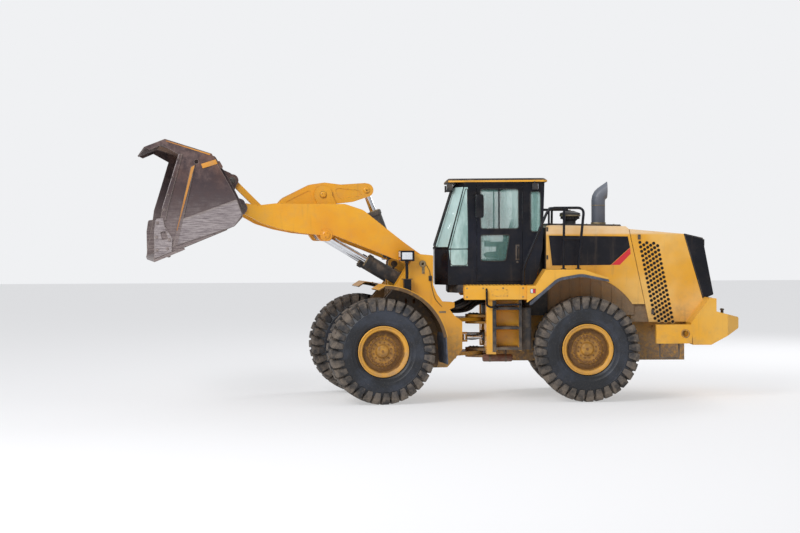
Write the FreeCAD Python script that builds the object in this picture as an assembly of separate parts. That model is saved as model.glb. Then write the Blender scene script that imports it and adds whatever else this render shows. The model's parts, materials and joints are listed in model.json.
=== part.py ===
import FreeCAD, Part
import os
from math import radians, degrees, sin, cos, tan, hypot, pi

# Wheel loader with an articulated frame, a two-arm boom with a centre tilt lever, and a bucket.
# Millimetres. X points forward, Y to the machine's left, Z up.
# While it is built, X and Y start on the vertical steering axis and Z on the ground under loaded tyres.
# The front half is built straight ahead and then turned about the steering axis.

V = FreeCAD.Vector
Y_AXIS, Z_AXIS = V(0, 1, 0), V(0, 0, 1)

# Running gear
wheelbase = 3550.0
tread = 2230.0
axle_height = 800.0
tyre_radius = 850.0
tyre_width = 670.0
carcass_radius = 812.0
lug_count = 26
lug_share_foot = 0.66
lug_share_tip = 0.50
shoulder_radius = 770.0
shoulder_drop = 25.0
side_lug_reach = 60.0
side_lug_radius = 725.0
belly_radius = 590.0
tyre_sides = 52
rim_radius = 345.0
rim_flange_radius = 410.0
rim_width = 570.0
rim_wall = 22.0
hub_face_radius = 250.0
hub_face_out = 150.0
hub_disc_thickness = 34.0
hub_cap_radius = 95.0
hub_cap_height = 45.0
hub_ring_height = 22.0
spindle_radius = 90.0
axle_tube_radius = 150.0
axle_hub_radius = 225.0
axle_centre_radius = 270.0
trunnion_radius = 110.0
trunnion_end = 300.0
pinion_radius = 100.0
shaft_radius = 48.0
shaft_yoke = 85.0
running_fit = 0.05
seat_gap = 0.3
side_gap = 6.0

# Steering joint between the two halves
steer_rest = 10.1
hitch_pin_radius = 60.0
hitch_eye_radius = 140.0
hitch_low = 680.0
hitch_high = 1240.0
hitch_plate = 60.0
fork_plate = 40.0
fork_reach = 330.0

# Rear frame
frame_half = 420.0
frame_plate = 40.0
frame_top = 1320.0
frame_open_low = 760.0
frame_open_high = 1160.0
frame_open_rear = -860.0
frame_wall_x = -1000.0
frame_bottom = 560.0
tail_top = 1206.7
frame_tail = -3480.0
front_wall_x = 442.0
front_wall = 40.0
engine_rear, engine_front, engine_top = -2480.0, -1500.0, 2250.0
gearbox_front, gearbox_half, gearbox_low, gearbox_high = -420.0, 190.0, 660.0, 1180.0

# Steering cylinders, plan position of each pin in its own half
steer_foot = (-900.0, frame_half - 130.0)
steer_web = frame_half - 240.0
steer_head = (250.0, 420.0)
steer_z = 960.0
steer_barrel_radius = 70.0
steer_barrel_length = 780.0
steer_rod_radius = 32.0
steer_eye_radius = 55.0
steer_eye_half = 45.0
steer_pin_radius = 30.0
steer_retract_left = 178.0
steer_retract_right = 312.0
steer_bracket = 28.0

# Cab
cab_floor = 1831.0
cab_sill = 2407.0
cab_top = 3510.0
cab_half = 800.0
cab_half_top = 780.0
cab_wall = 60.0
cab_rear_low = -976.0
cab_rear_mid = -1100.0
cab_rear_top = -1140.0
cab_nose = 660.0
cab_nose_top = 314.0
corner_low = 210.0
corner_top = 150.0
corner_slope = 1.3
roof_top = 3575.0
roof_half = 840.0
roof_front = 468.0
roof_rear = -1180.0
glass_inset = 22.0
glass_thickness = 12.0
door_front = -20.0
door_rear = -775.0
door_low = 1880.0
door_high = 3465.0
door_gap = 6.0
wheel_tilt = radians(27)
steering_wheel_radius = 190.0
steering_rim = 14.0
door_hinge_heights = (2000.0, 2700.0, 3250.0)
hinge_radius = 12.0
hinge_length = 60.0
door_hinge_x = -14.0
door_hinge_y = 815.0
mirror_y = 985.0
mirror_depth = 60.0
lamp_half = 75.0
front_lamp = (402.0, 640.0)
rear_lamp = (-973.0, 836.0)

# Hood and tail
hood_half = 750.0
hood_wall = 22.0
hood_front = -1165.0
hood_low = 1500.0
panel_gap = 6.0
weight_gap = 4.0
seam_top = (-2524.0, 2732.0)
seam_low = (-2846.0, 1193.0)
rear_top = (-3420.0, 2649.0)
rear_line_low = (-3731.0, 1580.0)
rear_low = (-3552.0, 1207.0)
tail_high_rear = (-3733.0, 2577.0)
tail_low_rear = (-3909.0, 1651.0)
bulkhead_top = 2300.0
liner_top = 2060.0
liner_rear = -2600.0
liner_wall = 14.0
hood_edge_radius = 90.0
arch_x = -1700.0
arch_z = 930.0
arch_radius = 1045.0
stack_x = -2105.0
stack_radius = 115.0
cleaner_x = -1630.0
cleaner_radius = 172.0
cleaner_neck = 95.0
stack_wall = 8.0
hood_cap_height = 28.0
tail_slots = 16
tail_slot_pitch = 50.0
tail_slot_height = 26.0
tail_slot_depth = 40.0
tow_slot_half = 70.0
tow_pin_x = -4185.0
tow_pin_radius = 25.0
tow_pin_low, tow_pin_high = 1000.0, 1360.0
tie_down = (-3366.0, 1039.0)
tie_down_radius = 52.0
rail_radius = 19.0
rail_y = 1150.0
tube_sides = 10
bend_steps = 3
stack_sides = 28

fender_radius = 1062.0
fender_sheet = 14.0
fender_outer = 1420.0
fender_top = 2085.0
platform_rear = -800.0
trim_inner = 1360.0

# Loader pins in the front half, (x, z)
pin_boom = (1004.0, 2181.0)
pin_bucket = (3964.0, 3100.0)
pin_lever = (2563.0, 3323.0)
pin_lever_tail = (1831.0, 3398.0)
pin_lever_head = (3397.0, 2910.0)
pin_link = (4048.0, 3561.0)
pin_tilt = (1372.0, 2174.0)
pin_lift_foot = (1040.0, 1742.0)
pin_lift_head = (2577.0, 2659.0)
pin_radius = 55.0

# Loader widths
tower_half = 700.0
tower_plate = 38.0
inner_tower = 505.0
inner_plate = 30.0
inner_rear = 384.0
keeper_recess = 10.0
arm_outer = 625.0
arm_inner = 535.0
arm_boss = 118.0
arm_nose = 76.0
lift_y = 350.0
lift_barrel_radius = 105.0
lift_rod_radius = 50.0
lift_eye_half = 55.0
lift_barrel_length = 970.0
lift_foot_eye, lift_head_eye = 105.0, 85.0
lift_boss_radius = 100.0
lift_retract = 382.0
tilt_barrel_length = 930.0
tilt_foot_eye, tilt_head_eye = 100.0, 95.0
tilt_retract = 158.0
tilt_barrel_radius = 110.0
tilt_rod_radius = 55.0
lever_half = 140.0
lever_gap = 72.0
lever_hub_radius = 130.0
lever_pocket = 12.0
ear_radius = 150.0
ear_plate = 40.0
ear_gap = 8.0
tilt_ear_gap = 6.0
torque_tube = (2330.0, 2890.0)
torque_tube_radius = 140.0
link_half = 60.0
link_eye = 88.0
link_web = 100.0

# Bucket
bucket_half = 1610.0
bucket_cheek = 25.0
bucket_trim = 25.0
bucket_ear = 40.0
bucket_ear_gap = 6.0
bucket_eye_radius = 105.0
edge_tip = (5396.0, 2294.0)
heel = (4142.0, 2804.0)
heel_back = (4007.0, 2952.0)
back_low = (4094.0, 3205.0)
back_high = (4241.0, 3486.0)
back_top = (4489.0, 3930.0)
guard_top = (5207.0, 4156.0)
guard_lip = (5528.0, 4030.0)
side_top = (5003.0, 3919.0)
side_front = (5290.0, 2853.0)
link_ear_gap = 6.0
sole_start = 520.0


def outline(corners, place):
    """Closed wire through corners (u, v) or (u, v, corner radius), each point set in space by place."""
    runs = []
    count = len(corners)
    for i in range(count):
        u, v = corners[i][:2]
        radius = corners[i][2] if len(corners[i]) > 2 else 0.0
        here = V(u, v, 0)
        if radius <= 0:
            runs.append((here, None, here))
            continue
        back = V(*corners[i - 1][:2], 0) - here
        ahead = V(*corners[(i + 1) % count][:2], 0) - here
        back.normalize()
        ahead.normalize()
        half = back.getAngle(ahead) / 2
        run = radius / tan(half)
        middle = back + ahead
        middle.normalize()
        crest = here + middle * (radius / sin(half) - radius)
        runs.append((here + back * run, crest, here + ahead * run))
    edges = []
    for i, (start, crest, end) in enumerate(runs):
        if crest:
            edges.append(Part.Arc(place(start), place(crest), place(end)).toShape())
        following = runs[(i + 1) % count][0]
        if end.distanceToPoint(following) > 1e-6:
            edges.append(Part.LineSegment(place(end), place(following)).toShape())
    return Part.Wire(edges)


def side_plate(corners, y0, y1):
    """Solid with a side outline (x, z, radius), from y0 to y1."""
    low, high = min(y0, y1), max(y0, y1)
    wire = outline(corners, lambda p: V(p.x, low, p.y))
    return Part.Face(wire).extrude(V(0, high - low, 0))


def floor_plate(corners, z0, z1):
    """Solid with a plan outline (x, y, radius), from z0 to z1."""
    wire = outline(corners, lambda p: V(p.x, p.y, z0))
    return Part.Face(wire).extrude(V(0, 0, z1 - z0))


def cross_plate(corners, x0, x1):
    """Solid with an outline across the machine (y, z, radius), from x0 to x1."""
    wire = outline(corners, lambda p: V(x0, p.x, p.y))
    return Part.Face(wire).extrude(V(x1 - x0, 0, 0))


def block(x0, x1, y0, y1, z0, z1):
    return Part.makeBox(abs(x1 - x0), abs(y1 - y0), abs(z1 - z0), V(min(x0, x1), min(y0, y1), min(z0, z1)))


def bar(start, end, radius):
    """Round bar between two points."""
    run = end - start
    return Part.makeCylinder(radius, run.Length, start, run)


def cross_bar(pin, y0, y1, radius):
    """Round bar across the machine on a pin's axis (x, z)."""
    return bar(V(pin[0], min(y0, y1), pin[1]), V(pin[0], max(y0, y1), pin[1]), radius)


def upright(x, y, z0, z1, radius):
    return bar(V(x, y, z0), V(x, y, z1), radius)


def closed(faces):
    """Solid from flat faces that close."""
    solid = Part.makeSolid(Part.makeShell(faces))
    solid.fix(0.001, 0.001, 0.001)
    return solid if solid.Volume > 0 else solid.reversed()


def flat_face(corners):
    return Part.Face(Part.makePolygon(corners + [corners[0]]))


def bent_tube(points, bend, radius, sides=tube_sides):
    """Flat-sided tube through points, each corner turned in short mitred steps on one bend radius."""
    path = [points[0]]
    for before, here, after in zip(points, points[1:], points[2:]):
        back = before - here
        ahead = after - here
        back.normalize()
        ahead.normalize()
        half = back.getAngle(ahead) / 2
        middle = back + ahead
        middle.normalize()
        centre = here + middle * (bend / sin(half))
        start = here + back * (bend / tan(half)) - centre
        for step in range(bend_steps + 1):
            angle = degrees(pi - 2 * half) * step / bend_steps
            path.append(centre + FreeCAD.Rotation(ahead.cross(back), angle).multVec(start))
    path.append(points[-1])
    runs = []
    for a, b in zip(path, path[1:]):
        run = b - a
        run.normalize()
        runs.append(run)
    across = runs[0].cross(Y_AXIS if abs(runs[0].y) < 0.9 else Z_AXIS)
    across.normalize()
    up = across.cross(runs[0])
    ring = []
    for i in range(sides):
        angle = 2 * pi * (i + 0.5) / sides
        ring.append(path[0] + (across * cos(angle) + up * sin(angle)) * radius)
    faces = [flat_face(ring)]
    for i, run in enumerate(runs):
        mitre = run + runs[i + 1] if i + 1 < len(runs) else run
        end = [corner + run * ((path[i + 1] - corner).dot(mitre) / run.dot(mitre)) for corner in ring]
        for k in range(sides):
            following = (k + 1) % sides
            faces.append(flat_face([ring[k], ring[following], end[following], end[k]]))
        ring = end
    faces.append(flat_face(ring))
    return closed(faces)


def ring_sheet(x, z, radius, thickness, start, end, y0, y1):
    """Sheet bent round a point (x, z) from one angle to another, its outside at radius."""
    def point(reach, angle):
        return V(x + reach * cos(radians(angle)), y0, z + reach * sin(radians(angle)))
    middle = (start + end) / 2
    inside = radius - thickness
    edges = [Part.Arc(point(radius, start), point(radius, middle), point(radius, end)).toShape(),
             Part.LineSegment(point(radius, end), point(inside, end)).toShape(),
             Part.Arc(point(inside, end), point(inside, middle), point(inside, start)).toShape(),
             Part.LineSegment(point(inside, start), point(radius, start)).toShape()]
    return Part.Face(Part.Wire(edges)).extrude(V(0, y1 - y0, 0))


def ring_bar(centre, axis, radius, half):
    """Grip ring with an eight-sided section round an axis."""
    section = []
    for i in range(8):
        angle = (i + 0.5) * pi / 4
        section.append((radius + half * cos(angle), half * sin(angle)))
    ring = turned(section)
    ring.Placement = FreeCAD.Placement(centre, FreeCAD.Rotation(Y_AXIS, axis))
    return ring


def fuse(shapes):
    return shapes[0].multiFuse(shapes[1:]).removeSplitter() if len(shapes) > 1 else shapes[0]


def mirrored(shape):
    return shape.mirror(V(0, 0, 0), Y_AXIS)


def pair(shape):
    return [shape, mirrored(shape)]


def turned(profile):
    """Solid of revolution about the Y axis from corners (radius, y)."""
    wire = outline(profile, lambda p: V(p.x, p.y, 0))
    return Part.Face(wire).revolve(V(0, 0, 0), Y_AXIS, 360)


nodes = {}


def keep(name, shapes):
    """Put solids under one node name. The solids of one node don't touch each other."""
    solids = []
    for shape in shapes:
        solids += shape.Solids
    nodes[name] = Part.makeCompound(solids)


def wheel_centre(front, left):
    return V((1 if front else -1) * wheelbase / 2, (1 if left else -1) * tread / 2, axle_height)


def tread_ring(y0, y1, phase, foot, bore_radius):
    """Gear-like ring whose teeth are the lugs, from the foot's radius out to the tyre's."""
    pitch = 2 * pi / lug_count
    corners = []
    for i in range(lug_count):
        middle = (i + phase) * pitch
        for share, radius in ((-lug_share_foot, foot), (-lug_share_tip, tyre_radius),
                              (lug_share_tip, tyre_radius), (lug_share_foot, foot)):
            angle = middle + share * pitch / 2
            corners.append((radius * cos(angle), radius * sin(angle)))
    bore = [(bore_radius * cos(i * pitch), bore_radius * sin(i * pitch)) for i in range(lug_count)]
    return side_plate(corners, y0, y1).cut(side_plate(bore, y0 - 1, y1 + 1))


def faceted(profile, sides):
    """Closed ring about the Y axis with flat sides, from corners (radius, y)."""
    def corner(index, step):
        radius, y = profile[index % len(profile)]
        angle = 2 * pi * step / sides
        return V(radius * cos(angle), y, radius * sin(angle))
    faces = []
    for i in range(len(profile)):
        for step in range(sides):
            faces.append(flat_face([corner(i, step), corner(i + 1, step), corner(i + 1, step + 1),
                                    corner(i, step + 1)]))
    return closed(faces)


def tyre():
    """Carcass with lugs that run from the crown down over both shoulders."""
    half = tyre_width / 2
    crown_half = half - shoulder_drop
    bead = rim_radius / cos(pi / tyre_sides) + seat_gap
    bead_half = rim_width / 2 - shoulder_drop
    wall = [(bead, bead_half), (bead + 75, bead_half + 10), (belly_radius - 90, half - 8),
            (belly_radius + 40, half), (shoulder_radius, crown_half)]
    profile = [(radius, -y) for radius, y in wall] + [(radius, y) for radius, y in reversed(wall)]
    parts = [faceted(profile, tyre_sides)]
    for side, phase in ((1, 0.0), (-1, 0.5)):
        low, high = sorted((0, side * crown_half))
        parts.append(tread_ring(low, high, phase, carcass_radius, shoulder_radius - side_lug_reach))
        low, high = sorted((side * (crown_half - side_lug_reach), side * half))
        parts.append(tread_ring(low, high, phase, side_lug_radius, side_lug_radius - 15))
    return fuse(parts)


def rim():
    """Flange rings, barrel, dished disc and hub face, outward along +Y."""
    edge = rim_width / 2
    inside = rim_radius - rim_wall
    back = hub_face_out - hub_disc_thickness
    lip = 14
    shell = turned([(hub_face_radius, back), (inside, hub_face_out - 75), (inside, -edge + 6),
                    (rim_flange_radius - 8, -edge - lip), (rim_flange_radius, -edge), (rim_radius, -edge + 20),
                    (rim_radius, edge - 20), (rim_flange_radius, edge), (rim_flange_radius, edge + lip - 6),
                    (rim_flange_radius - 8, edge + lip), (rim_flange_radius - 18, edge + lip),
                    (rim_flange_radius - 30, edge - 4), (rim_radius + 4, edge - 10),
                    (rim_radius - 8, edge - 32),
                    (inside, edge - 60), (inside - 4, hub_face_out - 10), (hub_face_radius, hub_face_out)])
    bore = spindle_radius + running_fit
    ring_face = hub_face_out + hub_ring_height
    crown = hub_face_out + hub_cap_height
    face = turned([(bore, back), (hub_face_radius, back), (hub_face_radius, hub_face_out),
                   (hub_face_radius - 10, ring_face), (hub_face_radius - 66, ring_face),
                   (hub_face_radius - 76, hub_face_out + 4), (hub_cap_radius + 20, hub_face_out + 4),
                   (hub_cap_radius + 8, crown - 8), (hub_cap_radius + 2, crown), (bore, crown)])
    cap = turned([(0, crown), (hub_cap_radius, crown), (hub_cap_radius - 20, crown + 10), (0, crown + 10)])
    return fuse([shell, face, cap])


def build_wheels():
    one_tyre = tyre()
    one_rim = rim()
    for front in (True, False):
        for left in (True, False):
            name = ("front_" if front else "rear_") + ("left" if left else "right")
            centre = wheel_centre(front, left)
            for kind, shape in (("tyre_", one_tyre), ("rim_", one_rim)):
                placed = shape.copy() if left else mirrored(shape)
                placed.translate(centre)
                keep(kind + name, [placed])


def axle(x, pinion_side):
    """Centre housing with its pinion nose, tubes, final-drive drums and wheel spindles."""
    inner_face = tread / 2 - rim_width / 2
    drum_end = tread / 2 + hub_face_out - hub_disc_thickness - side_gap
    cap_end = tread / 2 + hub_face_out + hub_cap_height - side_gap
    taper = 120
    z = axle_height
    pieces = [bar(V(x, -inner_face, z), V(x, inner_face, z), axle_tube_radius)]
    pieces.append(Part.makeSphere(axle_centre_radius, V(x, 0, z)))
    pieces.append(bar(V(x, 0, z), V(x + pinion_side * trunnion_end, 0, z), pinion_radius))
    for side in (1, -1):
        start = V(x, side * (inner_face - taper), z)
        pieces.append(Part.makeCone(axle_tube_radius, axle_hub_radius, taper, start, V(0, side, 0)))
        pieces.append(bar(V(x, side * inner_face, z), V(x, side * drum_end, z), axle_hub_radius))
        pieces.append(bar(V(x, side * drum_end, z), V(x, side * cap_end, z), spindle_radius))
    return fuse(pieces)


def hitch_fork(z_middle):
    """Two plates of the rear frame that hold one steering pin."""
    corners = [(-fork_reach - 80, -frame_half), (-fork_reach + 60, -frame_half + 60, 80),
               (hitch_eye_radius, -hitch_eye_radius, hitch_eye_radius - 1),
               (hitch_eye_radius, hitch_eye_radius, hitch_eye_radius - 1),
               (-fork_reach + 60, frame_half - 60, 80), (-fork_reach - 80, frame_half)]
    gap = hitch_plate / 2 + side_gap
    low = floor_plate(corners, z_middle - gap - fork_plate, z_middle - gap)
    high = floor_plate(corners, z_middle + gap, z_middle + gap + fork_plate)
    return [low, high]


def build_rear_frame():
    inner = frame_half - frame_plate
    x_axle = -wheelbase / 2
    side = side_plate([(-fork_reach, frame_top), (-fork_reach, frame_open_high),
                       (frame_open_rear, frame_open_high, 60), (frame_open_rear, frame_open_low, 60),
                       (-fork_reach, frame_open_low), (-fork_reach, frame_bottom + 30), (-620, frame_bottom),
                       (frame_tail, frame_bottom), (frame_tail, tail_top), (-2820, tail_top),
                       (-2700, frame_top)],
                      inner, frame_half)
    side = side.cut(block(x_axle - 260, x_axle + 260, 0, frame_half + 10, 0, axle_height + 190))
    walls = [block(frame_wall_x, frame_wall_x + frame_plate, -inner, inner, frame_bottom, frame_top),
             block(frame_tail, frame_tail + frame_plate, -inner, inner, frame_bottom, tail_top)]
    walls += [block(x_axle + offset, x_axle + offset + frame_plate, -inner, inner, frame_bottom, 1180)
              for offset in (-340, 300)]
    guard = block(-3327, -2926, -inner, inner, frame_bottom, frame_bottom + 30)
    forks = hitch_fork(hitch_low) + hitch_fork(hitch_high)
    brackets = []
    for z0 in (steer_z + steer_eye_half + side_gap, steer_z - steer_eye_half - side_gap - steer_bracket):
        bracket = floor_plate([(frame_wall_x, inner), (frame_wall_x, steer_web),
                               (steer_foot[0] + 40, steer_web + 50, 50),
                               (steer_foot[0] + 40, inner)], z0, z0 + steer_bracket)
        brackets += pair(bracket)
    frame = fuse([side, mirrored(side), guard] + walls + forks + brackets)
    bores = [upright(0, 0, z - 200, z + 200, hitch_pin_radius) for z in (hitch_low, hitch_high)]
    bores += [upright(steer_foot[0], y, steer_z - 150, steer_z + 150, steer_pin_radius)
              for y in (steer_foot[1], -steer_foot[1])]
    keep("rear_frame", [frame.cut(Part.makeCompound(bores))])
    reach = hitch_plate / 2 + side_gap + fork_plate
    steer_reach = steer_eye_half + side_gap + steer_bracket
    keep("hitch_pins", [upright(0, 0, z - reach, z + reach, hitch_pin_radius - running_fit)
                        for z in (hitch_low, hitch_high)]
         + [upright(steer_foot[0], y, steer_z - steer_reach, steer_z + steer_reach, steer_pin_radius)
            for y in (steer_foot[1], -steer_foot[1])]
         + [upright(tow_pin_x, 0, tow_pin_low, tow_pin_high, tow_pin_radius - running_fit)])
    trunnion = bar(V(x_axle - trunnion_end, 0, axle_height), V(x_axle, 0, axle_height), trunnion_radius)
    keep("rear_axle", [fuse([axle(x_axle, 1), trunnion])])
    keep("engine_block", [block(engine_rear, engine_front, -inner, inner, frame_top, engine_top)])
    keep("transmission", [block(frame_wall_x + frame_plate, gearbox_front, -gearbox_half, gearbox_half,
                                gearbox_low, gearbox_high)])
    start, end = x_axle + trunnion_end + frame_plate + seat_gap, frame_wall_x - seat_gap
    shaft = bar(V(start, 0, axle_height), V(end, 0, axle_height), shaft_radius)
    yokes = [bar(V(x, 0, axle_height), V(x + shaft_yoke, 0, axle_height), shaft_yoke)
             for x in (start, end - shaft_yoke)]
    keep("drive_shaft", [fuse([shaft] + yokes)])


def cab_section(z, rear, nose, half, corner):
    """Plan of the cab at one height, its front corners cut at a slant."""
    slant = corner * corner_slope
    corners = [(rear, -half), (nose - corner, -half), (nose, -half + slant), (nose, half - slant),
               (nose - corner, half), (rear, half)]
    return outline(corners, lambda p: V(p.x, p.y, z))


def cab_form(inset, drop):
    """Cab outline set in by inset, and from drop above the floor to drop below the top."""
    levels = []
    for z, rear, nose, half, corner in ((cab_floor, cab_rear_low, cab_nose, cab_half, corner_low),
                                        (cab_sill, cab_rear_mid, cab_nose, cab_half, corner_low),
                                        (cab_top, cab_rear_top, cab_nose_top, cab_half_top, corner_top)):
        lift = drop if z == cab_floor else (-drop if z == cab_top else 0)
        levels.append(cab_section(z + lift, rear + inset, nose - inset, half - inset, corner - inset * 0.25))
    return Part.makeLoft(levels, True, True)


def cab_windows():
    """Prisms that cut the window openings of the fixed cab."""
    front = cross_plate([(-470, 2455, 40), (470, 2455, 40), (520, 3420, 40), (-520, 3420, 40)], 150, 800)
    rear = cross_plate([(-600, 2560, 60), (600, 2560, 60), (600, 3400, 60), (-600, 3400, 60)], -1300, -1000)
    corner = side_plate([(cab_nose - 160, 2455), (cab_nose - 32, 2455), (cab_nose_top + 10, 3400),
                         (cab_nose_top - 96, 3400)], 610, 830)
    front_side = side_plate([(405, 2150), (405, 2440), (155, 3400), (125, 3400), (125, 2150)], 700, 860)
    quarter = side_plate([(-904, 2694, 30), (-1075, 2694, 30), (-1075, 3360, 30), (-904, 3360, 30)], 700, 860)
    return [front, rear] + pair(corner) + pair(front_side) + pair(quarter)


def door_windows():
    upper = side_plate([(-87, 2745, 30), (-87, 3400, 30), (-714, 3400, 30), (-714, 2745, 30)], 700, 860)
    lower = side_plate([(-87, 2218, 60), (-87, 2650, 30), (-569, 2650, 30), (-500, 2218, 60)], 700, 860)
    return [upper, lower]


def door_opening():
    return side_plate([(door_front, door_low), (door_front, door_high), (door_rear, door_high),
                       (door_rear, door_low)], 700, 860)


def door_panel():
    """Leaf of the left door before its windows: upright to the sill, then leaning in like the cab's side."""
    low, high = door_low + door_gap, door_high - door_gap
    lean = (cab_half - cab_half_top) * (high - cab_sill) / (cab_top - cab_sill)
    face = [(cab_half, low), (cab_half, cab_sill), (cab_half - lean, high)]
    inner = [(y - cab_wall, z) for y, z in reversed(face)]
    return cross_plate(face + inner, door_rear + door_gap, door_front - door_gap)


def build_cab():
    outer = cab_form(0, 0)
    wall = outer.cut(cab_form(cab_wall, cab_wall))
    pane_layer = cab_form(glass_inset, 5).cut(cab_form(glass_inset + glass_thickness, 5 + glass_thickness))
    windows = cab_windows()
    openings = pair(door_opening())
    keep("cab_glass", [pane_layer.common(window) for window in windows])
    door_wall = door_panel().cut(Part.makeCompound(door_windows()))
    grip = [(cab_half - 30, 2460), (cab_half + 42, 2460), (cab_half + 42, 2260), (cab_half - 30, 2260)]
    handle = [bent_tube([V(-690, y, z) for y, z in grip], 28, 11)]
    knuckles, fixed = [], []
    for z in door_hinge_heights:
        for parts, x0, x1, low in ((knuckles, door_front - 50, door_hinge_x, z),
                                   (fixed, door_hinge_x, door_hinge_x + 50, z + hinge_length + seat_gap)):
            parts.append(upright(door_hinge_x, door_hinge_y, low, low + hinge_length, hinge_radius))
            inner = x0 + 44 if parts is knuckles else x1
            top = low + hinge_length
            parts.append(block(x0, inner, door_hinge_y - hinge_radius - 35, door_hinge_y, low, top))
            parts.append(block(x0, x1, cab_half + 1, door_hinge_y, low, top))
    mirror = side_plate([(-128, 2935, 40), (-24, 2935, 40), (-24, 3290, 30), (-128, 3290, 50)],
                        mirror_y, mirror_y + mirror_depth)
    arms = [bar(V(-50, cab_half - 30, z), V(-60, mirror_y + 10, z), 12) for z in (3010, 3250)]
    fittings = handle + knuckles + arms + [mirror]
    leaves = {"left": fuse([door_wall] + fittings),
              "right": fuse([mirrored(door_wall)] + [mirrored(piece) for piece in fittings])}
    frame = wall.cut(Part.makeCompound(windows + openings))
    frame = fuse([frame] + fixed + [mirrored(piece) for piece in fixed])
    keep("cab_frame", [frame])
    panes = [pane_layer.common(window) for window in door_windows()]
    for side in ("left", "right"):
        keep("door_" + side, [leaves[side]])
        keep("door_glass_" + side, [pane if side == "left" else mirrored(pane) for pane in panes])

    def roof_level(z, grow):
        corners = [(roof_rear - grow, -roof_half - grow, 90), (roof_front + grow, -roof_half + 140 - grow, 90),
                   (roof_front + grow, roof_half - 140 + grow, 90), (roof_rear - grow, roof_half + grow, 90)]
        return outline(corners, lambda p: V(p.x, p.y, z))

    roof = Part.makeLoft([roof_level(cab_top + seat_gap, 0), roof_level(roof_top - 30, 0),
                          roof_level(roof_top, -40)], True, True)
    lamps = []
    for (x, y), half, facing in ((front_lamp, lamp_half, 1), (rear_lamp, 40, -1)):
        lamps.append(block(x - 40, x + 40, y - half, y + half, cab_top - 125, cab_top - 25))
        lamps.append(block(x + facing * 40, x + facing * 52, y - half - 6, y + half + 6,
                           cab_top - 131, cab_top - 19))
        lamps.append(block(x - 12, x + 12, y - 30, y + 10, cab_top - 30, cab_top + 10))
    roof = fuse([roof] + lamps + [mirrored(piece) for piece in lamps])
    keep("cab_roof", [roof])

    seat_x, floor = -420.0, cab_floor + cab_wall
    base = block(seat_x - 200, seat_x + 200, -220, 220, floor, floor + 360)
    armrests = [block(seat_x - 160, seat_x + 220, side * 270, side * 340, floor + 560, floor + 640)
                for side in (1, -1)]
    posts = [block(seat_x - 60, seat_x + 20, side * 220, side * 300, floor + 250, floor + 560)
             for side in (1, -1)]
    keep("seat_base", [fuse([base] + armrests + posts)])
    cushion = side_plate([(seat_x - 270, floor + 360 + seat_gap, 40),
                          (seat_x + 260, floor + 360 + seat_gap, 40),
                          (seat_x + 260, floor + 470, 50), (seat_x - 130, floor + 470, 30),
                          (seat_x - 200, floor + 1050, 40), (seat_x - 330, floor + 1050, 50)], -215, 215)
    keep("seat_cushion", [cushion])
    column = side_plate([(250, floor), (450, floor), (430, floor + 250), (230, floor + 620),
                         (160, floor + 600), (300, floor + 220)], -90, 90)
    tilt = V(-sin(wheel_tilt), 0, cos(wheel_tilt))
    hub = V(150, 0, floor + 640)
    wheel = ring_bar(hub, tilt, steering_wheel_radius, steering_rim)
    spokes = [bar(hub, hub + direction * (steering_wheel_radius - 5), steering_rim - 2)
              for direction in (V(0, 1, 0), V(0, -1, 0), V(cos(wheel_tilt), 0, sin(wheel_tilt)))]
    boss = bar(hub - tilt * 60, hub + tilt * 15, 40)
    keep("steering_column", [fuse([column, boss, wheel] + spokes)])


def sheet_body(side_corners, section_corners, wall, low):
    """Pressed cover: a side outline and a cross outline crossed, hollowed to its wall, open below low."""
    reach = 2 * hood_half + 400
    long_run = 6000.0

    def crossed(inset):
        side_wire = outline(side_corners, lambda p: V(p.x, -reach, p.y))
        section_wire = outline(section_corners, lambda p: V(-long_run, p.x, p.y))
        side_face = Part.Face(side_wire)
        section_face = Part.Face(section_wire)
        if inset:
            side_face = side_face.makeOffset2D(-inset)
            section_face = section_face.makeOffset2D(-inset)
        return side_face.extrude(V(0, 2 * reach, 0)).common(section_face.extrude(V(long_run + 1000, 0, 0)))

    body = crossed(0).cut(crossed(wall))
    return body.cut(block(-long_run, 1000, -reach, reach, 0, low))


def hood_section(top):
    return [(-hood_half, 900), (hood_half, 900), (hood_half, top, hood_edge_radius),
            (-hood_half, top, hood_edge_radius)]


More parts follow.
